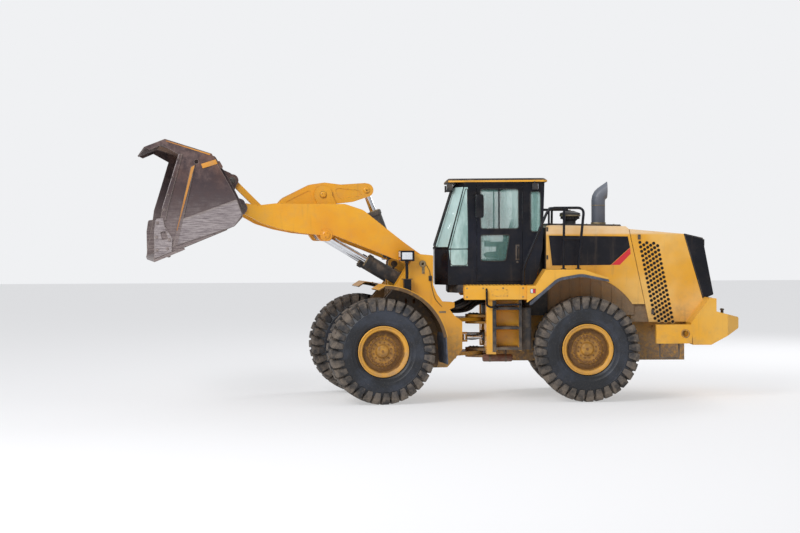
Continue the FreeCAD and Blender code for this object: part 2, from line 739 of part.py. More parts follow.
def build_hood():
    arch = bar(V(arch_x, -1000, arch_z), V(arch_x, 1000, arch_z), arch_radius)
    front = sheet_body([(hood_front, 1000), (hood_front, 2803, 40), (-2470, 2779), (-2520, 2735),
                        (-2845, 1190), (-2845, 1000)], hood_section(2803), hood_wall, hood_low)
    keep("hood", [front.cut(arch)])
    rear = sheet_body([(seam_top[0] - panel_gap, seam_top[1]), rear_top, rear_line_low, rear_low, (-3500, 1000),
                       (-2892, 1000), (seam_low[0] - panel_gap, seam_low[1])],
                      hood_section(2790), hood_wall, rear_low[1])
    keep("rear_hood", [rear])
    tail_prism = side_plate([(rear_top[0] - panel_gap, rear_top[1]), (*tail_high_rear, 60),
                             (*tail_low_rear, 20), (rear_line_low[0] - panel_gap, rear_line_low[1])],
                            -hood_half, hood_half)
    slots = []
    slope = (tail_high_rear[0] - tail_low_rear[0]) / (tail_high_rear[1] - tail_low_rear[1])
    for i in range(tail_slots):
        z = tail_low_rear[1] + 79 + i * tail_slot_pitch
        x = tail_low_rear[0] + slope * (z - tail_low_rear[1])
        for y0, y1 in ((-640, -20), (20, 640)):
            slots.append(side_plate([(x - 60, z), (x + tail_slot_depth, z + 14),
                                     (x + tail_slot_depth, z + 14 + tail_slot_height),
                                     (x - 60, z + tail_slot_height)], y0, y1))
    keep("tail_grille", [tail_prism.cut(Part.makeCompound(slots))])
    lean = (2803 - 2779) / (2470 - 1165)
    cap_front, cap_rear = hood_front - 15, -2420
    cap_low = [2803 + seat_gap - lean * (hood_front - x) for x in (cap_front, cap_rear)]
    cap = side_plate([(cap_front, cap_low[0]), (cap_front - 20, cap_low[0] + hood_cap_height),
                      (cap_rear + 20, cap_low[1] + hood_cap_height), (cap_rear, cap_low[1])], -590, 590)
    seats = [upright(x, 0, 2700, 3000, radius + seat_gap) for x, radius in ((stack_x, stack_radius),
                                                                        (cleaner_x, cleaner_neck))]
    keep("hood_cap", [cap.cut(Part.makeCompound(seats))])
    weight = side_plate([(-3753, 1612), (-3869, 1603), (-3869, 1395), (-4262, 1292, 30), (-4262, 1115, 30),
                         (-3783, 855), (-3489, 856), (-3459, 1212)], -1250, 1250)
    plan = floor_plate([(-3400, -1250), (-3400, 1250), (-4050, 1250), (-4300, 1000), (-4300, -1000),
                        (-4050, -1250)], 800, 1700)
    weight = weight.common(plan)
    room = side_plate([rear_top, (rear_line_low[0] - weight_gap, rear_line_low[1]),
                       (rear_low[0] - weight_gap, rear_low[1]), (-3300, rear_low[1]), (-3300, rear_top[1])],
                      -hood_half, hood_half)
    filled = Part.makeCompound([tail_prism, room])
    weight = weight.cut(filled).cut(block(frame_tail - seat_gap, -3300, -hood_half, hood_half, 800, 1300))
    tow_slot = block(-4300, -4120, -tow_slot_half, tow_slot_half, 1150, 1240)
    weight = weight.cut(tow_slot).cut(upright(tow_pin_x, 0, 900, 1400, tow_pin_radius))
    arm = side_plate([(-3474, 879), (-2896, 879), (-2896, 1184), (-3474, 1184)], 1130, 1250)
    arm = arm.cut(cross_bar(tie_down, 1100, 1260, tie_down_radius))
    keep("counterweight", [fuse([weight, arm, mirrored(arm)])])

    route = [V(stack_x, 0, 2775), V(stack_x, 0, 3290), V(stack_x - 300, 0, 3500)]
    pipe = bent_tube(route, 150, stack_radius, stack_sides)
    inside = [route[0] + V(0, 0, 60)] + route[1:]
    pipe = pipe.cut(bent_tube(inside, 150, stack_radius - stack_wall, stack_sides))
    mouth = block(stack_x - stack_radius - 500, stack_x - stack_radius - 32, -300, 300, 2700, 3800)
    keep("exhaust_stack", [pipe.cut(mouth).cut(nodes["hood"])])
    neck = upright(cleaner_x, 0, 2775, 2870, cleaner_neck).cut(nodes["hood"])
    x, low, brim, top = cleaner_x, 2870, 2905, 3020
    bowl = [Part.makeCone(cleaner_neck, cleaner_radius - 40, brim - low, V(x, 0, low), Z_AXIS),
            upright(x, 0, brim, brim + 70, cleaner_radius - 40),
            upright(x, 0, brim + 45, top - 15, cleaner_radius),
            Part.makeCone(cleaner_radius, 60, 40, V(x, 0, top - 15), Z_AXIS)]
    keep("precleaner", [fuse([neck] + bowl)])


def build_platform():
    inner, outer = cab_half + seat_gap, 1350.0
    base = floor_plate([(cab_rear_low + 10, -cab_half), (290, -cab_half, 60), (450, -540, 60), (450, 540, 60),
                        (290, cab_half, 60), (cab_rear_low + 10, cab_half)], 1700, cab_floor - seat_gap)
    posts = [block(x, x + 120, y - 70, y + 70, frame_top, 1700) for x in (-940, -460) for y in (-340, 340)]
    keep("cab_base", [fuse([base] + posts)])
    wall_x, wall_y = hood_front - hood_wall - seat_gap, hood_half - hood_wall - seat_gap
    front_wall_plate = block(wall_x - hood_wall, wall_x, -wall_y, wall_y, frame_top, bulkhead_top)
    liner = side_plate([(wall_x, frame_top), (wall_x, liner_top), (liner_rear, liner_top),
                        (liner_rear, frame_top)], wall_y - liner_wall, wall_y)
    keep("bulkhead", [fuse([front_wall_plate, liner, mirrored(liner)])])
    deck = cross_plate([(inner, 1607), (inner + 30, 1607), (inner + 30, 1800), (outer - 40, 1800),
                        (outer - 40, 1607), (outer, 1607), (outer, cab_floor), (inner, cab_floor)],
                       platform_rear, 200)
    keep("platform", pair(deck))
    stringer = block(-306, -153, 1000, 1300, 725, 1800 - seat_gap)
    rear_post = block(-720, -680, 1200, 1300, 781, 1800 - seat_gap)
    back = block(-720, -306, 1000, 1020, 800, 1800 - seat_gap)
    treads = [block(-680, -306, 1020, 1300, z - 30, z) for z in (830, 1161, 1474)]
    ladder = fuse([stringer, rear_post, back] + treads)
    keep("ladder", pair(ladder))
    under = cross_plate([(frame_half, 781), (1000 - seat_gap, 781), (1000 - seat_gap, 1200), (frame_half, 1200),
                         (frame_half, 1080), (600, 1080, 20), (600, 845, 20), (frame_half, 845)], -720, -160)
    keep("side_tank", pair(under))
    fender_side = [(platform_rear - seat_gap, 1560), (platform_rear - seat_gap, cab_floor), (-941, cab_floor),
                   (-1099, fender_top), (-1707, fender_top), (-2107, 1950), (-2107, 1925), (-1672, 2020, 400),
                   (-1290, 1950, 300), (-1010, 1710)]
    fender = side_plate(fender_side, cab_half + seat_gap, fender_outer)
    keep("rear_fender", pair(fender))
    fender_room = side_plate(fender_side, trim_inner - 1, fender_outer + seat_gap)
    sweep = [(-760, cab_floor), (-760, 2110), (-1176, 3078), (-1748, 3078), (-1646, fender_top + 4)]
    inboard = [V(-1215, rail_y, 3078), V(-1215, 700, 3078), V(-1215, 690, 2780)]
    rails = [bent_tube([V(x, rail_y, z) for x, z in sweep], 60, rail_radius),
             bent_tube(inboard, 60, rail_radius - 2).cut(nodes["hood"]),
             bar(V(-1411, rail_y, fender_top + 4), V(-1425, rail_y, 3078), rail_radius - 2),
             bar(V(-1418, rail_y, 2575), V(-1694, rail_y, 2575), rail_radius - 4)]
    flanges = [upright(x, rail_y, low, low + 14, 45) for x, low in ((-760, cab_floor), (-1411, fender_top),
                                                                   (-1646, fender_top))]
    keep("handrails", pair(fuse(rails + flanges)))
    trim = side_plate([(-1010, 1710), (-1290, 1950, 300), (-1672, 2020, 400), (-2107, 1925),
                       (-2120, 1885), (-1672, 1972, 380), (-1315, 1908, 280), (-1052, 1684)],
                      trim_inner, fender_outer + 14)
    keep("arch_trim", pair(trim.cut(nodes["rear_fender"]).cut(fender_room)))


def build_front_frame():
    tower = [(825, 2317, 20), (1123, 2348, 20), (1240, 2153, 60), (1433, 1848, 40), (1900, 1300), (1950, 750),
             (1500, 480), (600, 480), (345, 760), (344, 1231), (472, 1325), (554, 1430), (472, 1463),
             (471, 1544), (671, 1558, 40), (764, 1685), (828, 1835)]
    outer = side_plate(tower, tower_half - tower_plate, tower_half)
    # The inner plates stop short of the outer ones, so a steering rod's eye passes at full lock.
    set_back = [(max(corner[0], inner_rear), *corner[1:]) for corner in tower]
    inner = side_plate(set_back, inner_tower - inner_plate, inner_tower)
    walls = []
    for x0, x1, z0, z1 in ((front_wall_x, front_wall_x + front_wall, 620, 1290), (600, 640, 500, 1500),
                           (1330, 1370, 1000, 1450), (1880, 1910, 700, 1200)):
        walls.append(block(x0, x1, -tower_half + tower_plate, tower_half - tower_plate, z0, z1))
    floor = block(600, 1500, -tower_half + tower_plate, tower_half - tower_plate, 480, 510)
    eyes = []
    for z in (hitch_low, hitch_high):
        corners = [(-hitch_eye_radius, -hitch_eye_radius, hitch_eye_radius - 1),
                   (front_wall_x + 20, -tower_half + 200), (front_wall_x + 20, tower_half - 200),
                   (-hitch_eye_radius, hitch_eye_radius, hitch_eye_radius - 1)]
        eyes.append(floor_plate(corners, z - hitch_plate / 2, z + hitch_plate / 2))
    for z0 in (steer_z + steer_eye_half + side_gap, steer_z - steer_eye_half - side_gap - steer_bracket):
        x, y = steer_head
        eyes += pair(floor_plate([(front_wall_x + 10, y - 80), (x - 50, y - 50, 45), (x - 50, y + 45, 45),
                                  (front_wall_x + 10, y + 80)], z0, z0 + steer_bracket))
    frame = fuse([outer, mirrored(outer), inner, mirrored(inner), floor] + walls + eyes)
    holes = [cross_bar(pin_boom, -800, 800, pin_radius), cross_bar(pin_lift_foot, -600, 600, pin_radius)]
    holes += [upright(0, 0, z - 100, z + 100, hitch_pin_radius) for z in (hitch_low, hitch_high)]
    holes.append(bar(V(wheelbase / 2, -900, axle_height), V(wheelbase / 2, 900, axle_height), axle_tube_radius))
    holes.append(Part.makeSphere(axle_centre_radius, V(wheelbase / 2, 0, axle_height)))
    holes.append(bar(V(wheelbase / 2 - trunnion_end, 0, axle_height), V(wheelbase / 2, 0, axle_height),
                     pinion_radius))
    face = tower_half - keeper_recess
    keyway = [(985, 2140), (1020, 2140), (1000, 2010, 15), (965, 2010, 15)]
    holes += pair(side_plate(keyway, face, tower_half + 1))
    for x in (1149, 1282):
        slot = [(x - 22, 1535, 20), (x + 22, 1535, 20), (x + 22, 1615, 20), (x - 22, 1615, 20)]
        holes += pair(side_plate(slot, tower_half - tower_plate - 1, tower_half + 1))
    frame = frame.cut(Part.makeCompound(holes))
    tilt_ears = []
    for side in (1, -1):
        y0, y1 = side * (lever_gap + tilt_ear_gap), side * (lever_gap + tilt_ear_gap + ear_plate)
        x, z = pin_tilt
        tilt_ears.append(side_plate([(1240, 1500), (1500, 1500), (x + 98, z + 60, 60), (x, z + 110, 60),
                                     (x - 97, z + 60, 60)], y0, y1))
    cross = block(1240, 1500, -220, 220, 1400, 1560)
    frame = fuse([frame, cross] + tilt_ears)
    frame = frame.cut(cross_bar(pin_tilt, -200, 200, pin_radius))
    keep("front_frame", [frame])
    keep("front_axle", [axle(wheelbase / 2, -1)])
    boom_pins = [cross_bar(pin_boom, side * (inner_tower - inner_plate), side * (tower_half + 8), pin_radius)
                 for side in (1, -1)]
    lift_pins = [cross_bar(pin_lift_foot, side * (lift_y - lift_eye_half - 10), side * inner_tower, pin_radius)
                 for side in (1, -1)]
    tilt_end = lever_gap + tilt_ear_gap + ear_plate
    keep("loader_pins", boom_pins + lift_pins + [cross_bar(pin_tilt, -tilt_end, tilt_end, pin_radius)])

    sheet = ring_sheet(wheelbase / 2, axle_height, fender_radius, fender_sheet, 92, 168, tower_half,
                       fender_outer)
    skirt = ring_sheet(wheelbase / 2, axle_height, fender_radius, 62, 92, 168, fender_outer - fender_sheet,
                       fender_outer)
    lip_x, lip_z = wheelbase / 2 - 50, axle_height + fender_radius
    lip = side_plate([(lip_x, lip_z - 1), (lip_x + 127, lip_z - 80), (lip_x + 117, lip_z - 94),
                      (lip_x, lip_z - 1 - fender_sheet)], tower_half, fender_outer)
    keep("front_fender", pair(fuse([sheet, skirt, lip])))
    seat = fender_radius - fender_sheet - seat_gap
    held = []
    for angle in (165, 168):
        held.append((wheelbase / 2 + seat * cos(radians(angle)), axle_height + seat * sin(radians(angle))))
    flap = side_plate(held + [(728, 579), (742, 579), (held[0][0] + 8, 1010)],
                      tower_half + 20, fender_outer - fender_sheet - seat_gap)
    keep("mud_flaps", pair(flap.cut(nodes["front_frame"])))
    post = block(1225, 1345, 780, 880, 1600, 1930).cut(
        bar(V(wheelbase / 2, 700, axle_height), V(wheelbase / 2, 1500, axle_height), fender_radius + seat_gap))
    lamp_stem = bar(V(1290, 830, 1920), V(1290, 830, 2240), 22)
    head = block(1180, 1400, 730, 930, 2230, 2400)
    keep("lamp_posts", pair(fuse([post, lamp_stem, head])))


def build_boom():
    arm_corners = [(1397, 2236, 200), (1836, 2414, 300), (2455, 2658, 300), (2689, 2660, 300),
                   (3005, 2694, 300), (3324, 2758, 300), (3618, 2850, 300), (3860, 2985, 60),
                   (3955, 3026), (3955, 3174), (3880, 3178, 40), (3684, 3144, 200),
                   (3389, 3177, 300), (3002, 3165, 300), (2268, 3163, 200), (1967, 3063, 200),
                   (1547, 2729, 300), (1311, 2544, 300), (930, 2270, 70), (900, 2120, 70), (1010, 2070, 60)]
    arm = side_plate(arm_corners, arm_inner, arm_outer)
    foot = cross_bar(pin_boom, inner_tower + 6, tower_half - tower_plate - 6, arm_boss)
    nose = cross_bar(pin_bucket, arm_inner, arm_outer, arm_nose)
    lug = side_plate([(2400, 2700), (2500, 2560, 70), (2660, 2560, 70), (2760, 2700)],
                     lift_y + lift_eye_half + side_gap, arm_inner)
    head = cross_bar(pin_lift_head, arm_inner - 10, arm_outer + 12, lift_boss_radius)
    arm = fuse([arm, foot, nose, lug, head])
    arm = arm.cut(Part.makeCompound([cross_bar(pin_boom, 400, 800, pin_radius + running_fit),
                                     cross_bar(pin_bucket, 400, 800, pin_radius + running_fit)]))
    tube = cross_bar(torque_tube, -arm_inner, arm_inner, torque_tube_radius)
    ears = []
    x, z = pin_lever
    for side in (1, -1):
        y0, y1 = side * (lever_half + ear_gap), side * (lever_half + ear_gap + ear_plate)
        ears.append(side_plate([(torque_tube[0] - 130, 2860, 40), (torque_tube[0] + 230, 2860, 60),
                                (x + ear_radius - 6, z, 60), (x, z + 60), (x - ear_radius + 6, z, 60)], y0, y1))
        ears.append(cross_bar(pin_lever, y0, y1, ear_radius))
    boom = fuse([arm, mirrored(arm), tube] + ears)
    keep("boom", [boom.cut(cross_bar(pin_lever, -300, 300, pin_radius))])
    pin_end = lever_half + ear_gap + ear_plate + 12
    keep("lever_pin", [cross_bar(pin_lever, -pin_end, pin_end, pin_radius)])


def build_lever():
    """Tilt lever: two cheeks with recessed panels, joined by a hub at the pin on the boom."""
    face = lever_half - lever_pocket
    cheek = side_plate([(1822, 3519, 90), (1720, 3398, 100), (1831, 3280, 100), (2062, 3204, 200),
                        (2284, 3180, 200), (2480, 3190, 100), (2900, 3020, 200), (3330, 2800, 90),
                        (3490, 2850, 100), (3500, 2960, 80), (3222, 3270, 200), (2943, 3407, 150),
                        (2774, 3491, 120), (2536, 3525, 150), (2265, 3491, 200)], lever_gap, lever_half - 2)
    pockets = [side_plate([(2380, 3436, 40), (1968, 3398, 40), (1925, 3300, 40), (2289, 3262, 40)],
                           face, lever_half + 1),
               side_plate([(2761, 3410, 40), (3180, 3205, 40), (3130, 3060, 40), (2762, 3190, 40)],
                          face, lever_half + 1)]
    eyes = [cross_bar(pin, lever_gap, lever_half, radius) for pin, radius in
            ((pin_lever, lever_hub_radius), (pin_lever_tail, 112), (pin_lever_head, 105))]
    cheek = fuse([cheek.cut(Part.makeCompound(pockets))] + eyes)
    hub = cross_bar(pin_lever, -lever_gap, lever_gap, lever_hub_radius - 5)
    lever = fuse([cheek, mirrored(cheek), hub]).cut(cross_bar(pin_lever, -300, 300, pin_radius + running_fit))
    keep("tilt_lever", [lever])


def build_link():
    """Single bar from the lever's head to the bucket."""
    ux, uz = pin_link[0] - pin_lever_head[0], pin_link[1] - pin_lever_head[1]
    length = hypot(ux, uz)
    ux, uz = ux / length, uz / length
    half = link_web / 2
    corners = []
    for along, across in ((0, -half), (length, -half), (length, half), (0, half)):
        corners.append((pin_lever_head[0] + ux * along - uz * across,
                        pin_lever_head[1] + uz * along + ux * across))
    web = side_plate(corners, -link_half + 10, link_half - 10)
    eyes = [cross_bar(pin, -link_half, link_half, link_eye) for pin in (pin_lever_head, pin_link)]
    link = fuse([web] + eyes).cut(cross_bar(pin_link, -200, 200, pin_radius + running_fit))
    keep("tilt_link", [link])


def cylinder(foot, head, y, barrel_radius, rod_radius, barrel_length, retract, eye_half, foot_eye, head_eye):
    """Hydraulic cylinder between two pins: barrel with its eye, and rod with its eye."""
    run = V(head[0] - foot[0], 0, head[1] - foot[1])
    length = run.Length
    run.normalize()
    start = V(foot[0], y, foot[1])
    bottom = foot_eye + 60
    barrel = fuse([bar(start, start + run * bottom, eye_half - 3),
                   bar(start + run * (bottom - 20), start + run * barrel_length, barrel_radius),
                   bar(start + run * (barrel_length - 70), start + run * barrel_length, barrel_radius + 12),
                   cross_bar(foot, y - eye_half, y + eye_half, foot_eye)])
    bore = bar(start + run * (bottom + 10), start + run * (barrel_length + 1), rod_radius + running_fit)
    barrel = barrel.cut(Part.makeCompound([bore, cross_bar(foot, y - 300, y + 300, pin_radius + running_fit)]))
    rod = bar(start + run * (bottom + 20 + retract), start + run * (length - head_eye * 0.5), rod_radius)
    head_boss = cross_bar(head, y - eye_half, y + eye_half, head_eye)
    return barrel, fuse([rod, head_boss])


def build_cylinders():
    lifts = [cylinder(pin_lift_foot, pin_lift_head, side * lift_y, lift_barrel_radius, lift_rod_radius,
                      lift_barrel_length, lift_retract, lift_eye_half, lift_foot_eye, lift_head_eye)
             for side in (1, -1)]
    keep("lift_barrels", [barrel for barrel, rod in lifts])
    keep("lift_rods", [rod for barrel, rod in lifts])
    barrel, rod = cylinder(pin_tilt, pin_lever_tail, 0, tilt_barrel_radius, tilt_rod_radius, tilt_barrel_length,
                           tilt_retract, lever_gap - 8, tilt_foot_eye, tilt_head_eye)
    keep("tilt_barrel", [barrel])
    keep("tilt_rod", [rod])


def build_steering():
    turn = radians(steer_rest)
    for side, name, retract in ((1, "left", steer_retract_left), (-1, "right", steer_retract_right)):
        foot = V(steer_foot[0], side * steer_foot[1], steer_z)
        local = (steer_head[0], side * steer_head[1])
        head = V(local[0] * cos(turn) - local[1] * sin(turn),
                 local[0] * sin(turn) + local[1] * cos(turn), steer_z)
        run = head - foot
        run.normalize()
        eye = V(0, 0, steer_eye_half)
        bottom = 2 * steer_eye_radius
        barrel = fuse([bar(foot, foot + run * bottom, steer_eye_half - 3),
                       bar(foot + run * (bottom - 20), foot + run * steer_barrel_length, steer_barrel_radius),
                       bar(foot - eye, foot + eye, steer_eye_radius)])
        bore = bar(foot + run * (bottom + 10), foot + run * (steer_barrel_length + 1),
                   steer_rod_radius + running_fit)
        pin_hole = bar(foot - eye * 2, foot + eye * 2, steer_pin_radius + running_fit)
        keep("steer_barrel_" + name, [barrel.cut(Part.makeCompound([bore, pin_hole]))])
        rod = fuse([bar(foot + run * (bottom + 20 + retract), head - run * 20, steer_rod_radius),
                    bar(head - eye, head + eye, steer_eye_radius)])
        keep("steer_rod_" + name, [rod])


def build_bucket():
    tip, end = edge_tip, guard_lip
    cheek_out = bucket_half - bucket_trim
    cheek_in = cheek_out - bucket_cheek
    cheek = side_plate([tip, (*heel, 60), (*heel_back, 60), back_low, back_high, back_top, side_top,
                        (5258, 3080), side_front], cheek_in, cheek_out)
    cheek = cheek.cut(cross_bar((4726, 3806), 0, 2000, 32))
    gusset = side_plate([back_top, guard_top, end, (5440, 3985), (5260, 4062), side_top], cheek_in, cheek_out)
    wear = side_plate([(5060, 2508), (4976, 2897), (4105, 3206), (4024, 2980, 60), (4150, 2803, 60)],
                      cheek_out, cheek_out + 12)
    rib = side_plate([(4748, 3760), (4812, 3725), (5090, 2500), (5030, 2520)], cheek_out, cheek_out + 20)
    cutter = side_plate([(4940, 3919), side_top, (5258, 3080), (5285, 2900), (5205, 2900),
                         (5170, 3080)],
                        cheek_out, cheek_out + 16)
    corner = side_plate([(5250, 2940, 20), (5352, 2925, 20), (5385, 2739, 30), (5380, 2310), (5118, 2410),
                         (5105, 2620, 30), (5215, 2800, 60)], cheek_out, bucket_half)
    corner = corner.cut(side_plate([(5171, 2610, 20), (5262, 2595, 20), (5290, 2720, 20), (5215, 2735, 20)],
                                   cheek_out - 1, bucket_half + 1))
    trim = [wear, rib, cutter, corner]
    path_out = [tip, (*heel, 140), (*heel_back, 140), back_low, back_high, back_top, (*guard_top, 40), end]
    path_in = [(end[0] - 12, end[1] - 22), (guard_top[0] - 2, guard_top[1] - 27),
               (back_top[0] + 12, back_top[1] - 26),
               (back_high[0] + 22, back_high[1] - 12), (back_low[0] + 24, back_low[1] - 8),
               (heel_back[0] + 28, heel_back[1] + 12, 120), (heel[0] + 10, heel[1] + 24, 120),
               (tip[0] - 12, tip[1] + 28)]
    sheet = side_plate(path_out + path_in, -cheek_in, cheek_in)
    ribs = []
    for y in (1010, 1330):
        ribs += pair(side_plate([(4060, 2950), (3990, 2990, 40), (4020, 3180, 100), (4180, 3500),
                                 (4420, 3900, 60),
                                 (4500, 3920), (4260, 3490), (4110, 3205)], y, y + 20))
    strap = [(4350, 3700), (4310, 3718, 15), (4370, 3825, 15), (4410, 3800)]
    ribs += pair(side_plate(strap, arm_outer + 80, cheek_in))
    ux, uz = heel[0] - tip[0], heel[1] - tip[1]
    run = hypot(ux, uz)
    ux, uz = ux / run, uz / run
    sole = []
    for along, down in ((sole_start, 0), (run - 120, 0), (run - 120, 14), (sole_start, 14)):
        sole.append((tip[0] + ux * along + uz * -down, tip[1] + uz * along + ux * down))
    soles = []
    for y in (260, 860, 1400):
        soles += pair(side_plate(sole, y - 90, y + 90))
    ears = []
    x, z = pin_bucket
    for y0, y1 in ((arm_inner - bucket_ear_gap - bucket_ear, arm_inner - bucket_ear_gap),
                   (arm_outer + bucket_ear_gap, arm_outer + bucket_ear_gap + bucket_ear)):
        ear = side_plate([(x - 100, z - 80, 90), (4030, 2950), (4110, 3205), (4130, 3300),
                          (x - 60, z + 130, 80)], y0, y1)
        ears += pair(fuse([ear, cross_bar(pin_bucket, y0, y1, bucket_eye_radius)]))
    y0, y1 = link_half + link_ear_gap, link_half + link_ear_gap + bucket_ear
    ear = side_plate([(4094, 3205), (4241, 3486), (4440, 3842), (pin_link[0] + 30, pin_link[1] + 120, 90),
                      (pin_link[0] - 98, pin_link[1], 90)], y0, y1)
    ears += pair(fuse([ear, cross_bar(pin_link, y0, y1, bucket_eye_radius - 5)]))
    shell = [cheek, mirrored(cheek), gusset, mirrored(gusset), sheet]
    bucket = fuse(shell + trim + [mirrored(piece) for piece in trim] + ears + ribs + soles)
    holes = [cross_bar(pin_bucket, -900, 900, pin_radius), cross_bar(pin_link, -900, 900, pin_radius)]
    keep("bucket", [bucket.cut(Part.makeCompound(holes))])
    inner_end = arm_inner - bucket_ear_gap - bucket_ear
    outer_end = arm_outer + bucket_ear_gap + bucket_ear
    pins = [cross_bar(pin_bucket, side * inner_end, side * outer_end, pin_radius) for side in (1, -1)]
    pins.append(cross_bar(pin_link, -y1, y1, pin_radius))
    keep("bucket_pins", pins)
    edge = side_plate([tip, (tip[0] - 16, tip[1] - 39), (4910, 2447), (4926, 2483)], -bucket_half, bucket_half)
    keep("cutting_edge", [edge])


FRONT_NODES = ("front_frame", "front_axle", "loader_pins", "front_fender", "mud_flaps", "lamp_posts", "boom",
               "lever_pin", "tilt_lever", "tilt_link", "lift_barrels", "lift_rods", "tilt_barrel", "tilt_rod",
               "bucket", "bucket_pins", "cutting_edge", "tyre_front_left", "tyre_front_right", "rim_front_left", "rim_front_right")

build_wheels()
build_rear_frame()
build_cab()
build_hood()
build_platform()
build_front_frame()
build_boom()
build_lever()
build_link()
build_cylinders()
build_bucket()
for name in FRONT_NODES:
    nodes[name].rotate(V(0, 0, 0), Z_AXIS, steer_rest)
build_steering()

box = FreeCAD.BoundBox()
for shape in nodes.values():
    box.add(shape.BoundBox)
origin_shift = V(-(box.XMin + box.XMax) / 2, -(box.YMin + box.YMax) / 2, -box.ZMin)
os.makedirs("parts", exist_ok=True)
for name, shape in nodes.items():
    shape.translate(origin_shift)
    shape.exportStep("parts/" + name + ".step")
    print(name, len(shape.Solids), round(sum(s.Volume for s in shape.Solids) / 1e9, 4), shape.isValid())
print("box", box.XLength, box.YLength, box.ZLength, "shift", origin_shift)
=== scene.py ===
# %% [markdown]
# # Dressing a wheel loader
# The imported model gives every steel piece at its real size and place. This lesson keeps those
# pieces, gives each one a finish, and adds what a fabricator or a tyre maker would add last:
# lugs, bolts, perforations, seals, lenses, plates and dirt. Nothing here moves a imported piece.

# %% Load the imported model
import bpy
import bmesh
import json
from math import radians, cos, sin, pi, hypot
from mathutils import Matrix, Vector


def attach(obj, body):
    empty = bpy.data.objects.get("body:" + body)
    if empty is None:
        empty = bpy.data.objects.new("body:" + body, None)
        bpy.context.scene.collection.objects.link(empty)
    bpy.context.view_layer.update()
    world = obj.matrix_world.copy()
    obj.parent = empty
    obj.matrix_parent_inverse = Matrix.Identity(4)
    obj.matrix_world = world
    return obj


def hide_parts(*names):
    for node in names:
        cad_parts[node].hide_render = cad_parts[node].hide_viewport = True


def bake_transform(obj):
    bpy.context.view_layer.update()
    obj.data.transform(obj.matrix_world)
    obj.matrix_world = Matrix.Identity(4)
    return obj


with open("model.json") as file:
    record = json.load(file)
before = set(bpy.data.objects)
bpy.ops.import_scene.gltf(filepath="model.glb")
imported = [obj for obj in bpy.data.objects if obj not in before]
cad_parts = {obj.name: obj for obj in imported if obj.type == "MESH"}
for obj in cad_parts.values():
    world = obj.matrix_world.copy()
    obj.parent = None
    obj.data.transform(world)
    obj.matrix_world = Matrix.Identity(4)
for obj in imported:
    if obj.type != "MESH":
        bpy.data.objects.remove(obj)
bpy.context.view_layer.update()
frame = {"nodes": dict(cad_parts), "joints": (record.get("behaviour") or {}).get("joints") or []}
nodes = frame["nodes"]

# %% [markdown]
# The machine bends in the middle. The rear half lies straight along X and the front half is
# turned about the steering pin, so a piece is modelled straight, in metres from that pin and
# from the ground under the loaded tyres, and its half's matrix then puts it in place.

# %% The two halves
steering = next(j for j in frame["joints"] if j["name"] == "steer")
STEER_REST = radians(10.1)
PIN_HEIGHT = 0.96
pin_x, pin_y, pin_z = steering["pos_m"]
to_pin = Matrix.Translation((pin_x, pin_y, pin_z - PIN_HEIGHT))
HALF = {"rear": to_pin, "front": to_pin @ Matrix.Rotation(STEER_REST, 4, "Z")}
MIRROR = Matrix.Scale(-1, 4, Vector((0, 1, 0)))
AXLE_X, AXLE_Z, TRACK = 1.775, 0.8, 2.23
print("steering pin at", tuple(round(v, 3) for v in to_pin.translation))

# %% [markdown]
# A finished piece keeps its object at the origin with its place in its mesh, like the packed
# nodes. One helper bakes the half's matrix in, merges doubles, turns the faces outwards and
# lets the piece ride on its body. The body says which half the piece belongs to.

# %% Finish a mesh as a piece
REAR_BODIES = ("chassis", "door_left", "door_right", "wheel_rear_left", "wheel_rear_right")
MERGE = 1e-5


def link_piece(name, mesh, material, body="chassis", smooth=None):
    mesh.transform(HALF["rear" if body in REAR_BODIES else "front"])
    form = bmesh.new()
    form.from_mesh(mesh)
    bmesh.ops.remove_doubles(form, verts=form.verts, dist=MERGE)
    bmesh.ops.recalc_face_normals(form, faces=form.faces)
    form.to_mesh(mesh)
    form.free()
    mesh.name = name
    mesh.materials.clear()
    mesh.materials.append(material)
    if smooth is not None:
        mesh.shade_smooth()
        mesh.set_sharp_from_angle(angle=radians(smooth))
    piece = bpy.data.objects.new(name, mesh)
    bpy.context.scene.collection.objects.link(piece)
    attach(piece, body)
    return piece


def collect(parts, name="form"):
    """One mesh from several bmesh forms, which are used up."""
    mesh = bpy.data.meshes.new(name)
    whole = bmesh.new()
    for part in parts:
        held = bpy.data.meshes.new("held")
        part.to_mesh(held)
        part.free()
        whole.from_mesh(held)
        bpy.data.meshes.remove(held)
    whole.to_mesh(mesh)
    whole.free()
    return mesh


def form_of(mesh):
    """The mesh as a form that can be moved and joined; the mesh is used up."""
    form = bmesh.new()
    form.from_mesh(mesh)
    bpy.data.meshes.remove(mesh)
    return form


def joined(parts):
    return form_of(collect(parts))


def facing(direction):
    """The turn that takes +Y to a direction."""
    return Vector((0, 1, 0)).rotation_difference(direction).to_matrix().to_4x4()


def mirrored(form):
    form.transform(MIRROR)
    bmesh.ops.reverse_faces(form, faces=form.faces)
    return form


def single(name, parts, material, smooth=None, body="chassis"):
    """The parts as one piece."""
    return link_piece(name, collect(parts), material, body, smooth)


def pair(name, parts, material, smooth=None, body="chassis"):
    """The parts and their mirror images across the machine's centre plane, as one piece."""
    near = joined(parts)
    return single(name, [near, mirrored(near.copy())], material, smooth, body)


# %% [markdown]
# Most added pieces are one of four forms: a plate cut to an outline, a block with its edges
# broken, a turned part and a bent tube. Broken edges matter: no pressed or cast part has a
# perfectly sharp corner, and the thin bright line along it is what the eye reads as metal.

